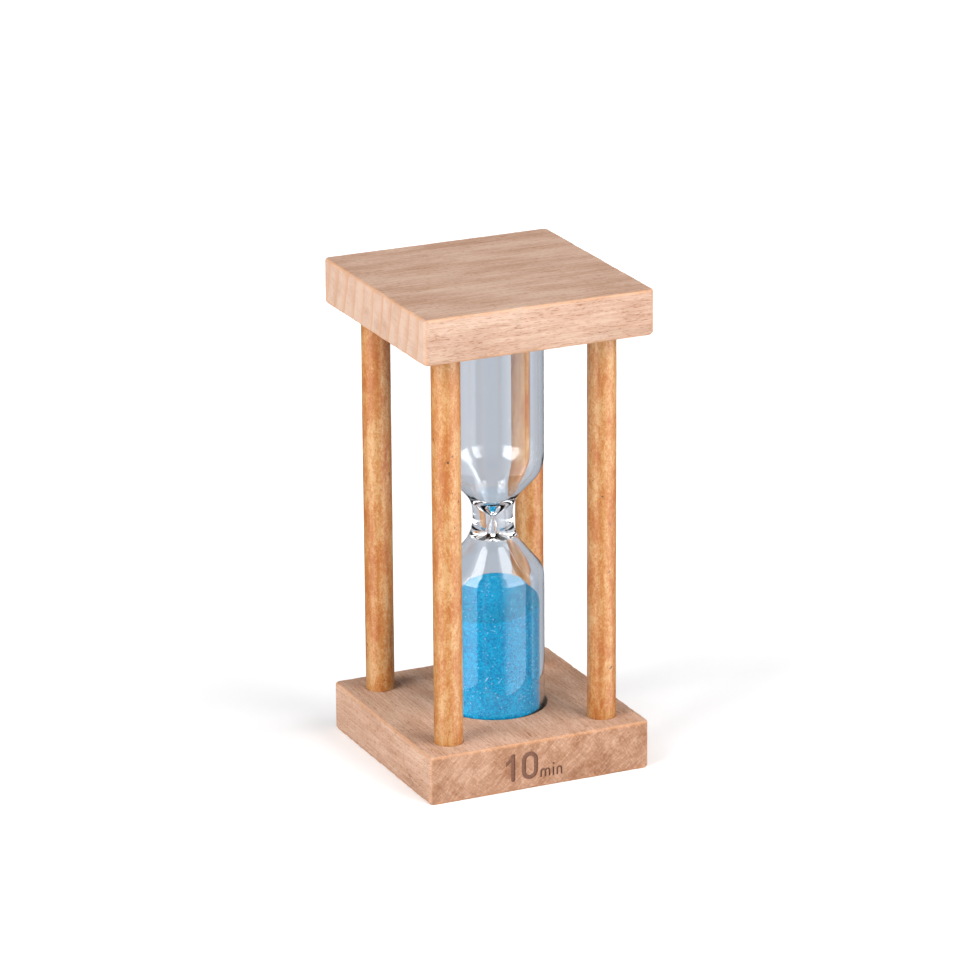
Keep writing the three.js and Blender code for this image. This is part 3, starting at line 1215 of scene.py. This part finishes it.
@dataclass
class Dowel:
    """One stained post, slightly uneven from hand sanding.

    Attributes:
        place: which corner it stands at.
        finish: its material.
        chamfer: chamfer at each end.
        uneven: how far its surface strays from round.
    """

    place: str
    finish: bpy.types.Material
    chamfer: float = 0.4 * MM
    uneven: float = 0.035 * MM

    @property
    def node(self) -> str:
        """The CAD node it stands for."""
        return f"post_{self.place}"

    def build(self) -> bpy.types.Object:
        """Turn the dowel and let it stand for its node."""
        low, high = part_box(self.node)
        centre = axis_of((low, high))
        radius = (high.x - low.x) / 2 - self.uneven

        def sanded(r: float, z: float, angle: float) -> tuple[float, float]:
            """Stray a little from round."""
            x, y = centre.x + r * math.cos(angle), centre.y + r * math.sin(angle)
            return r + self.uneven * hashed(x, y, z * 0.35, 0.35), z

        end = radius - self.chamfer
        side = [(radius, low.z + self.chamfer), (radius, high.z - self.chamfer)]
        corners = [(0.0, low.z), (end, low.z), *side, (end, high.z), (0.0, high.z)]
        outline = finer(corners, 2.0 * MM)
        dowel = turned(f"dowel_{self.place}", outline, 64, centre, sanded, self.finish)
        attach(dowel, "frame")
        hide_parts(self.node)
        return dowel


@dataclass(frozen=True)
class Shoulder:
    """How one bulb widens from the neck.

    Attributes:
        neck_end: height above the neck's middle where it starts.
        flare: its angle off upright, in degrees.
        waist: radius of the curve at the neck.
        crown: radius of the curve at the tube.
        funnel_wall: glass left beside the neck.
        funnel_height: height of the funnel's throat.
        funnel_fillet: radius that rounds the throat.
    """

    neck_end: float
    flare: float
    waist: float
    crown: float
    funnel_wall: float
    funnel_height: float
    funnel_fillet: float

    def rise(self, widening: float) -> float:
        """Height over which it widens by the given radius."""
        return widening / math.tan(math.radians(self.flare))


@dataclass
class Vial:
    """The pinched glass vial.

    Attributes:
        wall: thickness of the tube's wall.
        floor: thickness of its ends.
        end_radius: rounding of its ends.
        neck_radius: outer radius of the neck.
        neck_drop: how far the neck lies under the middle of the space between the boards.
        orifice_radius: radius of the hole that the sand runs through.
        orifice_length: length of that hole.
        channel_radius: radius of the narrow bore under it.
        channel_height: how far down that bore reaches.
        channel_fillet: rounding of its lower end.
        fill_hole_radius: radius of the filling hole in the upper end.
        ripple: how far the tube strays from round.
        pinch: how far the neck strays from round.
        softened: how far from the neck the glass was softened to pinch it.
        swirl: height over which that unevenness changes.
        upper: shoulder of the upper bulb.
        lower: shoulder of the lower bulb.
    """

    wall: float = 0.95 * MM
    floor: float = 1.1 * MM
    end_radius: float = 2.2 * MM
    neck_radius: float = 4.2 * MM
    neck_drop: float = 0.4 * MM
    orifice_radius: float = 0.4 * MM
    orifice_length: float = 0.6 * MM
    channel_radius: float = 1.1 * MM
    channel_height: float = 3.9 * MM
    channel_fillet: float = 0.3 * MM
    fill_hole_radius: float = 3.4 * MM
    ripple: float = 0.012 * MM
    pinch: float = 0.07 * MM
    softened: float = 7.0 * MM
    swirl: float = 6.0 * MM
    upper: Shoulder = Shoulder(2.9 * MM, 41.3, 6.5 * MM, 7.0 * MM, 1.0 * MM, 3.2 * MM, 0.8 * MM)
    lower: Shoulder = Shoulder(3.9 * MM, 38.7, 9.0 * MM, 4.0 * MM, 0.4 * MM, 4.9 * MM, 0.7 * MM)

    def __post_init__(self) -> None:
        """Take the overall sizes and places from the frame."""
        low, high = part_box("glass_vial")
        self.radius = (high.x - low.x) / 2
        neck = (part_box("base_plate")[1].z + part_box("top_plate")[0].z) / 2 - self.neck_drop
        self.centre = axis_of((low, high)) + Vector((0.0, 0.0, neck))
        self.upper_end = high.z - neck
        self.lower_end = neck - low.z

    @property
    def bore(self) -> float:
        """Inner radius of the tube."""
        return self.radius - self.wall

    def outside(self, shoulder: Shoulder, end: float) -> list[Corner]:
        """Outer corners of a bulb, from the neck to its end."""
        tube = shoulder.neck_end + shoulder.rise(self.radius - self.neck_radius)
        return [
            Corner(self.neck_radius, shoulder.neck_end, shoulder.waist),
            Corner(self.radius, tube, shoulder.crown),
            Corner(self.radius, end, self.end_radius),
        ]

    def inside(self, shoulder: Shoulder, end: float, inset: float = 0.0) -> list[Corner]:
        """Inner corners of a bulb.

        Args:
            shoulder: the bulb's shoulder.
            end: height of its closed end above the neck.
            inset: how far each corner is moved inwards.

        Returns:
            The corners, from the funnel to the end.
        """
        throat = self.neck_radius - shoulder.funnel_wall
        tube = shoulder.funnel_height + shoulder.rise(self.bore - throat)
        return [
            Corner(throat - inset, shoulder.funnel_height + inset, shoulder.funnel_fillet),
            Corner(self.bore - inset, tube + inset, shoulder.crown),
            Corner(self.bore - inset, end - self.floor - inset, self.end_radius - self.wall),
        ]

    @staticmethod
    def below(corners: Sequence[Corner]) -> list[Corner]:
        """Corners mirrored under the neck, in reverse order."""
        return [Corner(c.radius, -c.height, c.fillet) for c in reversed(corners)]

    def build(self, glass: bpy.types.Material) -> bpy.types.Object:
        """Blow the vial and let it stand for its node."""
        half = self.orifice_length / 2
        foot_outside = self.below(self.outside(self.lower, self.lower_end))
        foot_inside = self.below(self.inside(self.lower, self.lower_end))
        outside = [Corner(0.0, -self.lower_end), *foot_outside]
        outside += [*self.outside(self.upper, self.upper_end), Corner(self.fill_hole_radius, self.upper_end)]
        inside = [Corner(0.0, self.floor - self.lower_end), *foot_inside]
        inside += [
            Corner(self.channel_radius, -self.channel_height, self.channel_fillet),
            Corner(self.orifice_radius, -half),
            Corner(self.orifice_radius, half),
            *self.inside(self.upper, self.upper_end),
            Corner(self.fill_hole_radius, self.upper_end - self.floor),
        ]
        outline = finer(rounded([*outside, *reversed(inside)]), 1.5 * MM)
        vial = turned("vial_glass", outline, 160, self.centre, self._lamp_worked, glass, sharp=50.0)
        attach(vial, "vial")
        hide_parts("glass_vial")
        return vial

    def _lamp_worked(self, radius: float, height: float, angle: float) -> tuple[float, float]:
        """Unevenness of glass that was softened and pinched by hand at the neck."""
        near_neck = math.exp(-((height / self.softened) ** 2))
        around = polar(1.0, angle, height / self.swirl)
        swell = self.ripple * noise.noise(around * 1.3)
        swell += self.pinch * near_neck * noise.noise(around * 1.1)
        full_swell = 2.0 * MM
        return radius + swell * min(1.0, radius / full_swell) - self.ripple / 2, height


@dataclass
class Sand:
    """The blue sand, all run down into the lower bulb.

    Attributes:
        vial: the vial that holds it.
        depth: from the vial's floor to the ring where the heap meets the wall.
        rise: height of the heap above that ring.
        crest_radius: radius of its flattened top.
        crest_fillet: rounding of that top.
        gap: space left between sand and glass.
        lean: how much higher the heap stands on its far side.
        lean_towards: direction of the high side, in degrees.
        bumps: height of the broad bumps on the heap.
        fine_bumps: height of the small ones.
        settled: depth under the ring from which the sand lies evenly.
    """

    vial: Vial
    depth: float = 23.6 * MM
    rise: float = 4.3 * MM
    crest_radius: float = 5.2 * MM
    crest_fillet: float = 8.0 * MM
    gap: float = 0.03 * MM
    lean: float = 1.5 * MM
    lean_towards: float = 35.0
    bumps: float = 0.16 * MM
    fine_bumps: float = 0.05 * MM
    settled: float = 2.5 * MM

    def build(self, finish: bpy.types.Material) -> bpy.types.Object:
        """Pour the sand and let it stand for its node."""
        heap = turned("sand_heap", self._outline(), 160, self.vial.centre, self._loose, finish, sharp=60.0)
        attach(heap, "vial")
        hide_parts("sand")
        return heap

    @property
    def ring(self) -> float:
        """Height of the heap's rim, from the neck."""
        return self.vial.floor - self.vial.lower_end + self.depth

    def _outline(self) -> Outline:
        """Outline of the sand from the middle of its floor to its crest."""
        vial = self.vial
        foot = vial.below(vial.inside(vial.lower, vial.lower_end, self.gap))[0]
        crest = self.ring + self.rise
        corners = [
            Corner(0.0, foot.height),
            foot,
            Corner(foot.radius, self.ring),
            Corner(self.crest_radius, crest, self.crest_fillet),
            Corner(0.0, crest),
        ]
        return finer(rounded(corners), 0.5 * MM)

    def surface_height(self, radius: float, angle: float) -> float:
        """Height of the heap's surface above the neck's middle, at a distance and direction."""
        share = min(1.0, (self.vial.bore - radius) / (self.vial.bore - self.crest_radius))
        return self.ring + self.rise * share + self._tilt(radius, angle)

    def _tilt(self, radius: float, angle: float) -> float:
        """How much the lean lifts a place on the heap."""
        return self.lean * radius / self.vial.bore * math.cos(angle - math.radians(self.lean_towards))

    def _loose(self, radius: float, height: float, angle: float) -> tuple[float, float]:
        """Unevenness of the heap's surface."""
        loose = height - self.ring + self.settled
        if loose < 0.0:
            return radius, height
        share = min(1.0, loose / self.settled)
        x, y = radius * math.cos(angle), radius * math.sin(angle)
        bumps = self.bumps * hashed(x, y, 0.0, 0.35) + self.fine_bumps * hashed(x, y, 0.0, 1.4)
        return radius, height + share * (self._tilt(radius, angle) + bumps)


@dataclass
class StrayGrains:
    """Single grains that stand out: chips in the sand and dust left on the glass.

    Attributes:
        vial: the vial they are in.
        sand: the sand they lie in.
        seed: start of the random places.
        by_glass: how many chips lie against the wall.
        on_heap: how many lie on the heap.
        in_funnel: how many blue grains are left in the funnel.
        on_wall: how many cling to the upper wall.
        slivers: bearing in degrees from -Y towards +X, height over the floor, length and half
            thickness of each sliver.
    """

    vial: Vial
    sand: Sand
    seed: int = 10
    by_glass: int = 90
    on_heap: int = 30
    in_funnel: int = 16
    on_wall: int = 14
    slivers: tuple[tuple[float, float, float, float], ...] = (
        (-33.0, 9.9 * MM, 1.5 * MM, 0.15 * MM),
        (-27.0, 8.9 * MM, 0.6 * MM, 0.08 * MM),
        (-18.0, 9.3 * MM, 0.9 * MM, 0.09 * MM),
    )

    def build(self, pale: bpy.types.Material, dyed: bpy.types.Material) -> list[bpy.types.Object]:
        """Scatter the grains, as one piece of pale chips and one of dyed grains."""
        draw = random.Random(self.seed)
        white = self._chips_in_sand(draw)
        blue = self._dust_on_glass(draw)
        pieces = [self._piece("pale_grains", white, pale), self._piece("blue_grains", blue, dyed)]
        for piece in pieces:
            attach(piece, "vial")
        return pieces

    def _chips_in_sand(self, draw: random.Random) -> list[tuple[Vector, float]]:
        """Places and sizes of pale chips, most of them against the wall."""
        wall, low = self._wall_and_floor()
        grains = []
        for _ in range(self.by_glass):
            size = 0.03 * MM + 0.09 * MM * draw.random() ** 4
            angle = draw.uniform(0, math.tau)
            height = low + self.sand.depth * draw.uniform(0.04, 0.97)
            grains.append((self._at(wall - size * 0.75, angle, height), size))
        for _ in range(self.on_heap):
            size = 0.03 * MM + 0.06 * MM * draw.random() ** 2
            radius = wall * math.sqrt(draw.uniform(0.0, 0.85))
            angle = draw.uniform(0, math.tau)
            height = self.sand.surface_height(radius, angle)
            grains.append((self._at(radius, angle, height), size))
        return grains + self._slivers()

    def _slivers(self) -> list[tuple[Vector, float]]:
        """Places and sizes of the crystals that make up three long slivers of bare quartz."""
        wall, low = self._wall_and_floor()
        grains = []
        for bearing, height, length, thickness in self.slivers:
            angle = math.radians(bearing - 90.0)
            steps = max(2, round(length / (0.6 * thickness)))
            for k in range(steps):
                along = (k / (steps - 1) - 0.5) * length
                size = thickness * (1.0 - abs(along) / length)
                at = self._at(wall - size * 0.5, angle + 0.5 * along / wall, low + height + 0.8 * along)
                grains.append((at, size))
        return grains

    def _dust_on_glass(self, draw: random.Random) -> list[tuple[Vector, float]]:
        """Places and sizes of blue grains left in the funnel and on the upper wall."""
        grains = []
        throat = self.vial.upper.funnel_height
        funnel = self.vial.neck_radius - self.vial.upper.funnel_wall
        for _ in range(self.in_funnel):
            size = 0.06 * MM + 0.05 * MM * draw.random()
            angle = draw.uniform(0, math.tau)
            radius = self.vial.orifice_radius + draw.uniform(0.2, 1.6) * MM
            share = (radius - self.vial.orifice_radius) / funnel
            height = self.vial.orifice_length / 2 + throat * share + size
            grains.append((self._at(radius - size, angle, height), size))
        for _ in range(self.on_wall):
            size = 0.05 * MM + 0.05 * MM * draw.random()
            angle = draw.uniform(0, math.tau)
            height = self.vial.upper_end * draw.uniform(0.35, 0.85)
            grains.append((self._at(self.vial.bore - size - self.sand.gap, angle, height), size))
        return grains

    def _at(self, radius: float, angle: float, height: float) -> Vector:
        """Point at a radius, direction and height from the neck's middle."""
        return self.vial.centre + polar(radius, angle, height)

    def _wall_and_floor(self) -> tuple[float, float]:
        """Radius of the sand, and height of the vial's floor from the neck's middle."""
        return self.vial.bore - self.sand.gap, self.vial.floor - self.vial.lower_end

    @staticmethod
    def _piece(
        name: str, grains: Sequence[tuple[Vector, float]], finish: bpy.types.Material
    ) -> bpy.types.Object:
        """One mesh of many eight-sided crystals, each with its place and size."""
        tips = [Vector(t) for t in ((1, 0, 0), (-1, 0, 0), (0, 1, 0), (0, -1, 0), (0, 0, 1), (0, 0, -1))]
        sides = [(0, 2, 4), (2, 1, 4), (1, 3, 4), (3, 0, 4), (2, 0, 5), (1, 2, 5), (3, 1, 5), (0, 3, 5)]
        vertices, faces = [], []
        for number, (place, size) in enumerate(grains):
            turn = Matrix.Rotation(number * 2.4, 3, Vector((0.3, 0.5, 0.8)).normalized())
            first = len(vertices)
            vertices += [place + turn @ tip * size for tip in tips]
            faces += [tuple(first + k for k in side) for side in sides]
        return mesh_piece(name, vertices, faces, finish, sharp=20.0)


@dataclass
class VialFittings:
    """Plug and felt pads that close and cushion the vial.

    Attributes:
        plug_taper: how much slimmer the plug's inner end is.
        plug_rounding: rounding of the plug's inner end.
        plug_band: height of the straight band at its outer end.
        plug_bend: rounding where the band starts.
        plug_rim: rounding of the outer end.
        plug_sink: how far its outer face stays inside its node's box.
        fray: how far the felt's edge strays.
        pad_sink: how far a pad's upper face stays inside its node's box.
        pad_rounding: share of a pad's thickness that rounds its edges.
    """

    plug_taper: float = 0.35 * MM
    plug_rounding: float = 0.3 * MM
    plug_band: float = 1.0 * MM
    plug_bend: float = 0.4 * MM
    plug_rim: float = 0.12 * MM
    plug_sink: float = 0.02 * MM
    fray: float = 0.08 * MM
    pad_sink: float = 0.01 * MM
    pad_rounding: float = 0.3

    def build(self, silicone: bpy.types.Material, felt: bpy.types.Material) -> list[bpy.types.Object]:
        """Make the plug and both pads, and let them stand for their nodes."""
        plug = self._plug(silicone)
        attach(plug, "vial")
        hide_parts("fill_plug")
        pads = []
        for side in ("lower", "upper"):
            pad = self._pad(side, felt)
            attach(pad, "frame")
            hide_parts(f"{side}_seat_pad")
            pads.append(pad)
        return [plug, *pads]

    def _plug(self, silicone: bpy.types.Material) -> bpy.types.Object:
        """Tapered plug with a rounded inner end."""
        low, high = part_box("fill_plug")
        outer = (high.x - low.x) / 2
        end = high.z - self.plug_sink
        corners = [
            Corner(0.0, low.z),
            Corner(outer - self.plug_taper, low.z, self.plug_rounding),
            Corner(outer, high.z - self.plug_band, self.plug_bend),
            Corner(outer, end, self.plug_rim),
            Corner(0.0, end),
        ]
        outline = rounded(corners, math.radians(12))
        return turned("silicone_plug", outline, 64, axis_of((low, high)), still, silicone)

    def _pad(self, side: str, felt: bpy.types.Material) -> bpy.types.Object:
        """Disc with a soft, frayed edge."""
        low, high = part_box(f"{side}_seat_pad")
        radius = (high.x - low.x) / 2 - self.fray
        fillet = (high.z - low.z) * self.pad_rounding
        top = high.z - self.pad_sink

        def frayed(r: float, z: float, angle: float) -> tuple[float, float]:
            """Stray at the rim."""
            x, y = r * math.cos(angle), r * math.sin(angle)
            return r + self.fray * hashed(x, y, z, 0.8) * (r / radius) ** 8, z

        sides = [Corner(radius, low.z, fillet), Corner(radius, top, fillet)]
        outline = rounded([Corner(0.0, low.z), *sides, Corner(0.0, top)], math.radians(20))
        return turned(f"felt_{side}_pad", outline, 72, axis_of((low, high)), frayed, felt)


# ---------------------------------------------------------------- studio


@dataclass(frozen=True)
class Softbox:
    """One flat, upright light.

    Attributes:
        name: its name.
        bearing: direction from the object, in degrees from -Y towards +X.
        spread: its width as an angle, in degrees.
        low: elevation of its lower edge, in degrees.
        high: elevation of its upper edge, in degrees.
        strength: light that it gives, in watts for each square metre.
        gleam: how bright it looks in polished surfaces, in the same unit.
        feather: width over which each of its sides fades, in degrees.
        gleam_gap: how far its reflection hangs in front of its light.
    """

    name: str
    bearing: float
    spread: float
    low: float
    high: float
    strength: float
    gleam: float
    feather: float = 36.0
    gleam_gap: float = 5.0 * MM

    def build(self, distance: float, target: Vector) -> None:
        """Hang one lamp for its light and one for its reflection.

        Args:
            distance: level distance from the object.
            target: middle of the object.
        """
        if self.strength > 0.0:
            light = self._lamp(self.name, self.strength, self.spread, distance, target)
            light.visible_glossy = False
        nearer = distance - self.gleam_gap
        wider = self.spread + self.feather
        shine = self._lamp(f"{self.name}_gleam", self.gleam, wider, nearer, target)
        shine.visible_diffuse = False
        shine.visible_transmission = self.strength > 0.0
        self._only_gleam(shine.data, self.feather / wider)

    @staticmethod
    def _only_gleam(lamp: bpy.types.Light, fading: float) -> None:
        """Fade a reflection at its sides and keep it from lighting anything through the glass.

        Args:
            lamp: the lamp that makes the reflection.
            fading: share of its width over which each side fades.
        """
        lamp.use_nodes = True
        sheet = Sheet(lamp.node_tree)
        bounces = sheet.node("ShaderNodeLightPath", output="Diffuse Depth")
        across, _, _ = sheet.parts(sheet.node("ShaderNodeNewGeometry", output="Parametric"))
        inwards = 0.5 - (across - 0.5).size()
        faded = inwards.rise(0.0, fading) * (1.0 - bounces.least(1.0))
        shine = sheet.node("ShaderNodeEmission", None, {"Strength": faded})
        sheet.end("ShaderNodeOutputLight", shine)

    def _lamp(
        self, name: str, strength: float, spread: float, distance: float, target: Vector
    ) -> bpy.types.Object:
        """Hang one lamp.

        Args:
            name: its name.
            strength: its power, in watts for each square metre.
            spread: its width as an angle, in degrees.
            distance: level distance from the object.
            target: middle of the object.

        Returns:
            The lamp, which the camera doesn't see.
        """
        bottom = target.z + distance * math.tan(math.radians(self.low))
        top = target.z + distance * math.tan(math.radians(self.high))
        lamp = bpy.data.lights.new(name, "AREA")
        lamp.shape = "RECTANGLE"
        lamp.size = 2 * distance * math.tan(math.radians(spread / 2))
        lamp.size_y = top - bottom
        lamp.energy = strength * lamp.size * lamp.size_y
        made = bpy.data.objects.new(name, lamp)
        angle = math.radians(self.bearing)
        out = Vector((math.sin(angle), -math.cos(angle), 0.0))
        made.location = Vector((target.x, target.y, (bottom + top) / 2)) + out * distance
        made.rotation_euler = out.to_track_quat("Z", "Y").to_euler()
        made.visible_camera = False
        bpy.context.scene.collection.objects.link(made)
        return made


@dataclass
class Studio:
    """Table, lights, backdrop and camera.

    Attributes:
        target: the point the camera looks at.
        camera_place: where the camera stands.
        camera_roll: how far the camera leans, in degrees.
        lens: its focal length in mm.
        table: finish of the table.
        sensor: width of the camera's sensor in mm.
        clip: nearest and furthest distance that the camera shows.
        table_radius: radius of the table.
        table_segments: how many facets its rim has.
        ambient: soft light from all round.
        behind_glass: the grey studio that is seen through the glass.
        in_gloss: the dim studio that shows in polished surfaces.
        light_distance: level distance of the lights.
        boxes: the lights.
    """

    target: Vector
    camera_place: Vector
    camera_roll: float
    lens: float
    table: TableFinish
    sensor: float = 36.0
    clip: tuple[float, float] = (0.05, 40.0)
    table_radius: float = 12.0
    table_segments: int = 128
    ambient: Colour = (0.14, 0.145, 0.16)
    behind_glass: Colour = (0.55, 0.575, 0.64)
    in_gloss: Colour = (0.07, 0.085, 0.095)
    light_distance: float = 0.9
    boxes: tuple[Softbox, ...] = (
        Softbox("key_box", 39.0, 59.0, 22.0, 66.0, 16.5, 6.0),
        Softbox("key_skirt", 39.0, 59.0, 0.0, 22.0, 9.0, 13.0),
        Softbox("key_low", 39.0, 59.0, -40.0, 0.0, 0.0, 8.5),
        Softbox("side_box", -75.0, 42.0, 22.0, 66.0, 20.5, 8.0),
        Softbox("side_skirt", -75.0, 42.0, 0.0, 22.0, 14.0, 12.0),
        Softbox("side_low", -75.0, 42.0, -40.0, 0.0, 0.0, 7.4),
    )

    def build(self) -> None:
        """Set up everything that isn't the object."""
        scene = bpy.context.scene
        scene.view_settings.view_transform = "Standard"
        self._table()
        self._backdrop(scene)
        for box in self.boxes:
            box.build(self.light_distance, self.target)
        self._camera(scene)

    def _table(self) -> None:
        """Wide white disc that the object stands on, which doesn't show in the glass."""
        count = self.table_segments
        vertices = [polar(0.0, 0.0, 0.0)]
        vertices += [polar(self.table_radius, math.tau * k / count, 0.0) for k in range(count)]
        faces = [(0, 1 + k, 1 + (k + 1) % count) for k in range(count)]
        table = mesh_piece("table", vertices, faces, self.table.material())
        table.visible_glossy = False
        table.visible_transmission = False

    def _backdrop(self, scene: bpy.types.Scene) -> None:
        """Ambient light, with a studio of its own for the glass, for the gloss and for the camera."""
        world = bpy.data.worlds.new("studio")
        world.use_nodes = True
        sheet = Sheet(world.node_tree)
        light = self._background(sheet, self.ambient)
        bounces = sheet.node("ShaderNodeLightPath", output="Diffuse Depth")
        seen = 1.0 - bounces.least(1.0)
        looks = (
            ("Is Glossy Ray", self.in_gloss),
            ("Is Transmission Ray", self.behind_glass),
            ("Is Camera Ray", (1.0, 1.0, 1.0)),
        )
        for ray, colour in looks:
            share = sheet.node("ShaderNodeLightPath", output=ray) * seen
            sockets = {"Fac": share, "Shader": light, "Shader_001": self._background(sheet, colour)}
            light = sheet.node("ShaderNodeMixShader", None, sockets)
        sheet.end("ShaderNodeOutputWorld", light)
        scene.world = world

    @staticmethod
    def _background(sheet: Sheet, colour: Colour) -> Sock:
        """Even light of one colour."""
        return sheet.node("ShaderNodeBackground", None, {"Color": colour})

    def _camera(self, scene: bpy.types.Scene) -> None:
        """Camera at the product shot's angle."""
        lens = bpy.data.cameras.new("camera")
        lens.lens = self.lens
        lens.sensor_width = self.sensor
        lens.clip_start, lens.clip_end = self.clip
        camera = bpy.data.objects.new("camera", lens)
        camera.location = self.camera_place
        aim = (self.target - self.camera_place).to_track_quat("-Z", "Y").to_matrix()
        roll = Matrix.Rotation(math.radians(self.camera_roll), 3, "Z")
        camera.rotation_euler = (aim @ roll).to_euler()
        scene.collection.objects.link(camera)
        scene.camera = camera


# ---------------------------------------------------------------- assembly


TOP_BEECH = BeechFinish(
    name="beech_top",
    grain=Grain.SIDEWAYS,
    pith=(95.0, 118.0),
    ring_spacing=4.4,
    pale=(0.51, 0.357, 0.273),
    middle=(0.40, 0.248, 0.174),
    dark=(0.24, 0.105, 0.058),
    burnished=(0.58, 0.29, 0.13),
    figure=1.05,
    rings_long=0.1,
    rings_end=0.75,
    late_wood=(0.46, 0.235, 0.125),
    # painted light: the top board's end faces at the sides are made lighter
    end_shade=-0.16,
    weave=0.12,
)
BASE_BEECH = BeechFinish(
    name="beech_base",
    grain=Grain.FRONT_TO_BACK,
    pith=(46.0, -44.0),
    ring_spacing=2.9,
    pale=(0.57, 0.38, 0.278),
    middle=(0.43, 0.25, 0.162),
    dark=(0.26, 0.12, 0.062),
    burnished=(0.56, 0.27, 0.12),
    figure=0.95,
    rings_long=0.2,
    rings_end=0.25,
    late_wood=(0.31, 0.155, 0.095),
    # darker end grain, with painted shade on the base's front and back faces
    end_shade=0.6,
    weave=0.62,
)
MARK_SCORCH = ScorchedFinish("scorched_mark", brown=(0.195, 0.082, 0.046), char=(0.115, 0.046, 0.026))
DOWEL_STAIN = StainedDowelFinish(
    name="stained_beech",
    honey=(0.51, 0.285, 0.112),
    amber=(0.43, 0.172, 0.038),
    rust=(0.36, 0.10, 0.011),
    speck=(0.10, 0.04, 0.02),
)
GLASS = VialGlassFinish("vial_glass", tint=(0.955, 0.97, 0.975), index=1.5, straight=0.95)
BLUE_SAND = SandFinish(
    name="blue_sand",
    deep=(0.0, 0.19, 0.47),
    bright=(0.0, 0.53, 0.85),
    glint=(0.55, 0.76, 0.90),
    grains_per_mm=4.4,
    # painted shade on the heap's upward-facing top
    loose_shade=0.4,
)
CRYSTAL = {"per_mm": 4.0, "detail": 1.0, "rough": 0.25, "rougher": 0.2, "edge": (0.4, 0.6)}
PALE_GRAINS = CloudedFinish("pale_grains", (0.85, 0.88, 0.92), (0.55, 0.66, 0.78), **CRYSTAL)
BLUE_GRAINS = CloudedFinish("blue_grains", (0.02, 0.28, 0.60), (0.01, 0.14, 0.34), **CRYSTAL)
GREY_FELT = CloudedFinish(
    name="grey_felt",
    low=(0.17, 0.16, 0.145),
    high=(0.30, 0.28, 0.26),
    per_mm=3.0,
    detail=5.0,
    rough=0.95,
    edge=(0.35, 0.65),
    bumps=(0.15 * MM, 1.0),
    noise=(("roughness", 0.75), ("twist", 2.0)),
    sockets=(("Sheen_Weight", 0.3), ("Sheen_Roughness", 0.5)),
)
MILKY_SILICONE = CloudedFinish(
    name="milky_silicone",
    low=(0.72, 0.74, 0.72),
    high=(0.60, 0.62, 0.61),
    per_mm=0.8,
    detail=3.0,
    rough=0.4,
    rougher=0.15,
    bumps=(0.02 * MM, 0.4),
)
WHITE_TABLE = TableFinish(
    name="table_white",
    white=(0.93, 0.93, 0.93),
    glow=(0.06, 0.06, 0.06),
    cove_glow=(0.9, 0.9, 0.9),
    cove=(180.0, 700.0),
)

POST_PLACES = ("front_left", "front_right", "back_left", "back_right")


def post_axes() -> list[Vector]:
    """The four post axes, from the packed posts."""
    return [axis_of(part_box(f"post_{place}")) for place in POST_PLACES]


def board_bores(face: float, seat_floor: float, post_end: float) -> Bores:
    """Bores of one board.

    Args:
        face: height of the bored face.
        seat_floor: height of the pad's far side, where the seat ends.
        post_end: height of the posts' ends in it.

    Returns:
        The bores, fitted to the packed posts, pads and vial.
    """
    low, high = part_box("glass_vial")
    post_low, post_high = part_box("post_front_left")
    seat_clearance, socket_spare = 0.5 * MM, 0.15 * MM
    return Bores(
        posts=post_axes(),
        post_radius=(post_high.x - post_low.x) / 2,
        socket_depth=abs(face - post_end) + socket_spare,
        seat_radius=(high.x - low.x) / 2 + seat_clearance,
        seat_depth=abs(face - seat_floor),
        seat_axis=axis_of((low, high)),
    )


def build_boards() -> list[bpy.types.Object]:
    """Make the base and the top."""
    base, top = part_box("base_plate"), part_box("top_plate")
    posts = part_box("post_front_left")
    base_bores = board_bores(base[1].z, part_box("lower_seat_pad")[0].z, posts[0].z)
    top_bores = board_bores(top[0].z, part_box("upper_seat_pad")[1].z, posts[1].z)
    mark = MinuteMark(face=base[0].y, middle=(base[0].z + base[1].z) / 2)
    boards = [
        Board("base_board", "base_plate", BASE_BEECH, base_bores, True, mark, MARK_SCORCH),
        Board("top_board", "top_plate", TOP_BEECH, top_bores, False),
    ]
    return [board.build() for board in boards]


def build_vial() -> list[bpy.types.Object]:
    """Make the vial, with everything that is in it and the pads at its ends."""
    vial = Vial()
    sand = Sand(vial)
    pieces = [vial.build(GLASS.material()), sand.build(BLUE_SAND.material())]
    pieces += StrayGrains(vial, sand).build(PALE_GRAINS.material(), BLUE_GRAINS.material())
    pieces += VialFittings().build(MILKY_SILICONE.material(), GREY_FELT.material())
    return pieces


def main() -> None:
    """Build the timer and the studio, report each piece and write the two boxes."""
    logging.basicConfig(level=logging.INFO, format="%(name)s: %(message)s")
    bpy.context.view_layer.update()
    stain = DOWEL_STAIN.material()
    pieces = build_boards()
    pieces += [Dowel(place, stain).build() for place in POST_PLACES]
    pieces += build_vial()
    studio = Studio(
        target=Vector((-0.00163, 0.00075, 0.05936)),
        camera_place=Vector((-0.43133, -0.93595, 0.40438)),
        camera_roll=-0.39,
        lens=196.6,
        table=WHITE_TABLE,
    )
    studio.build()


if __name__ == "__main__":
    main()
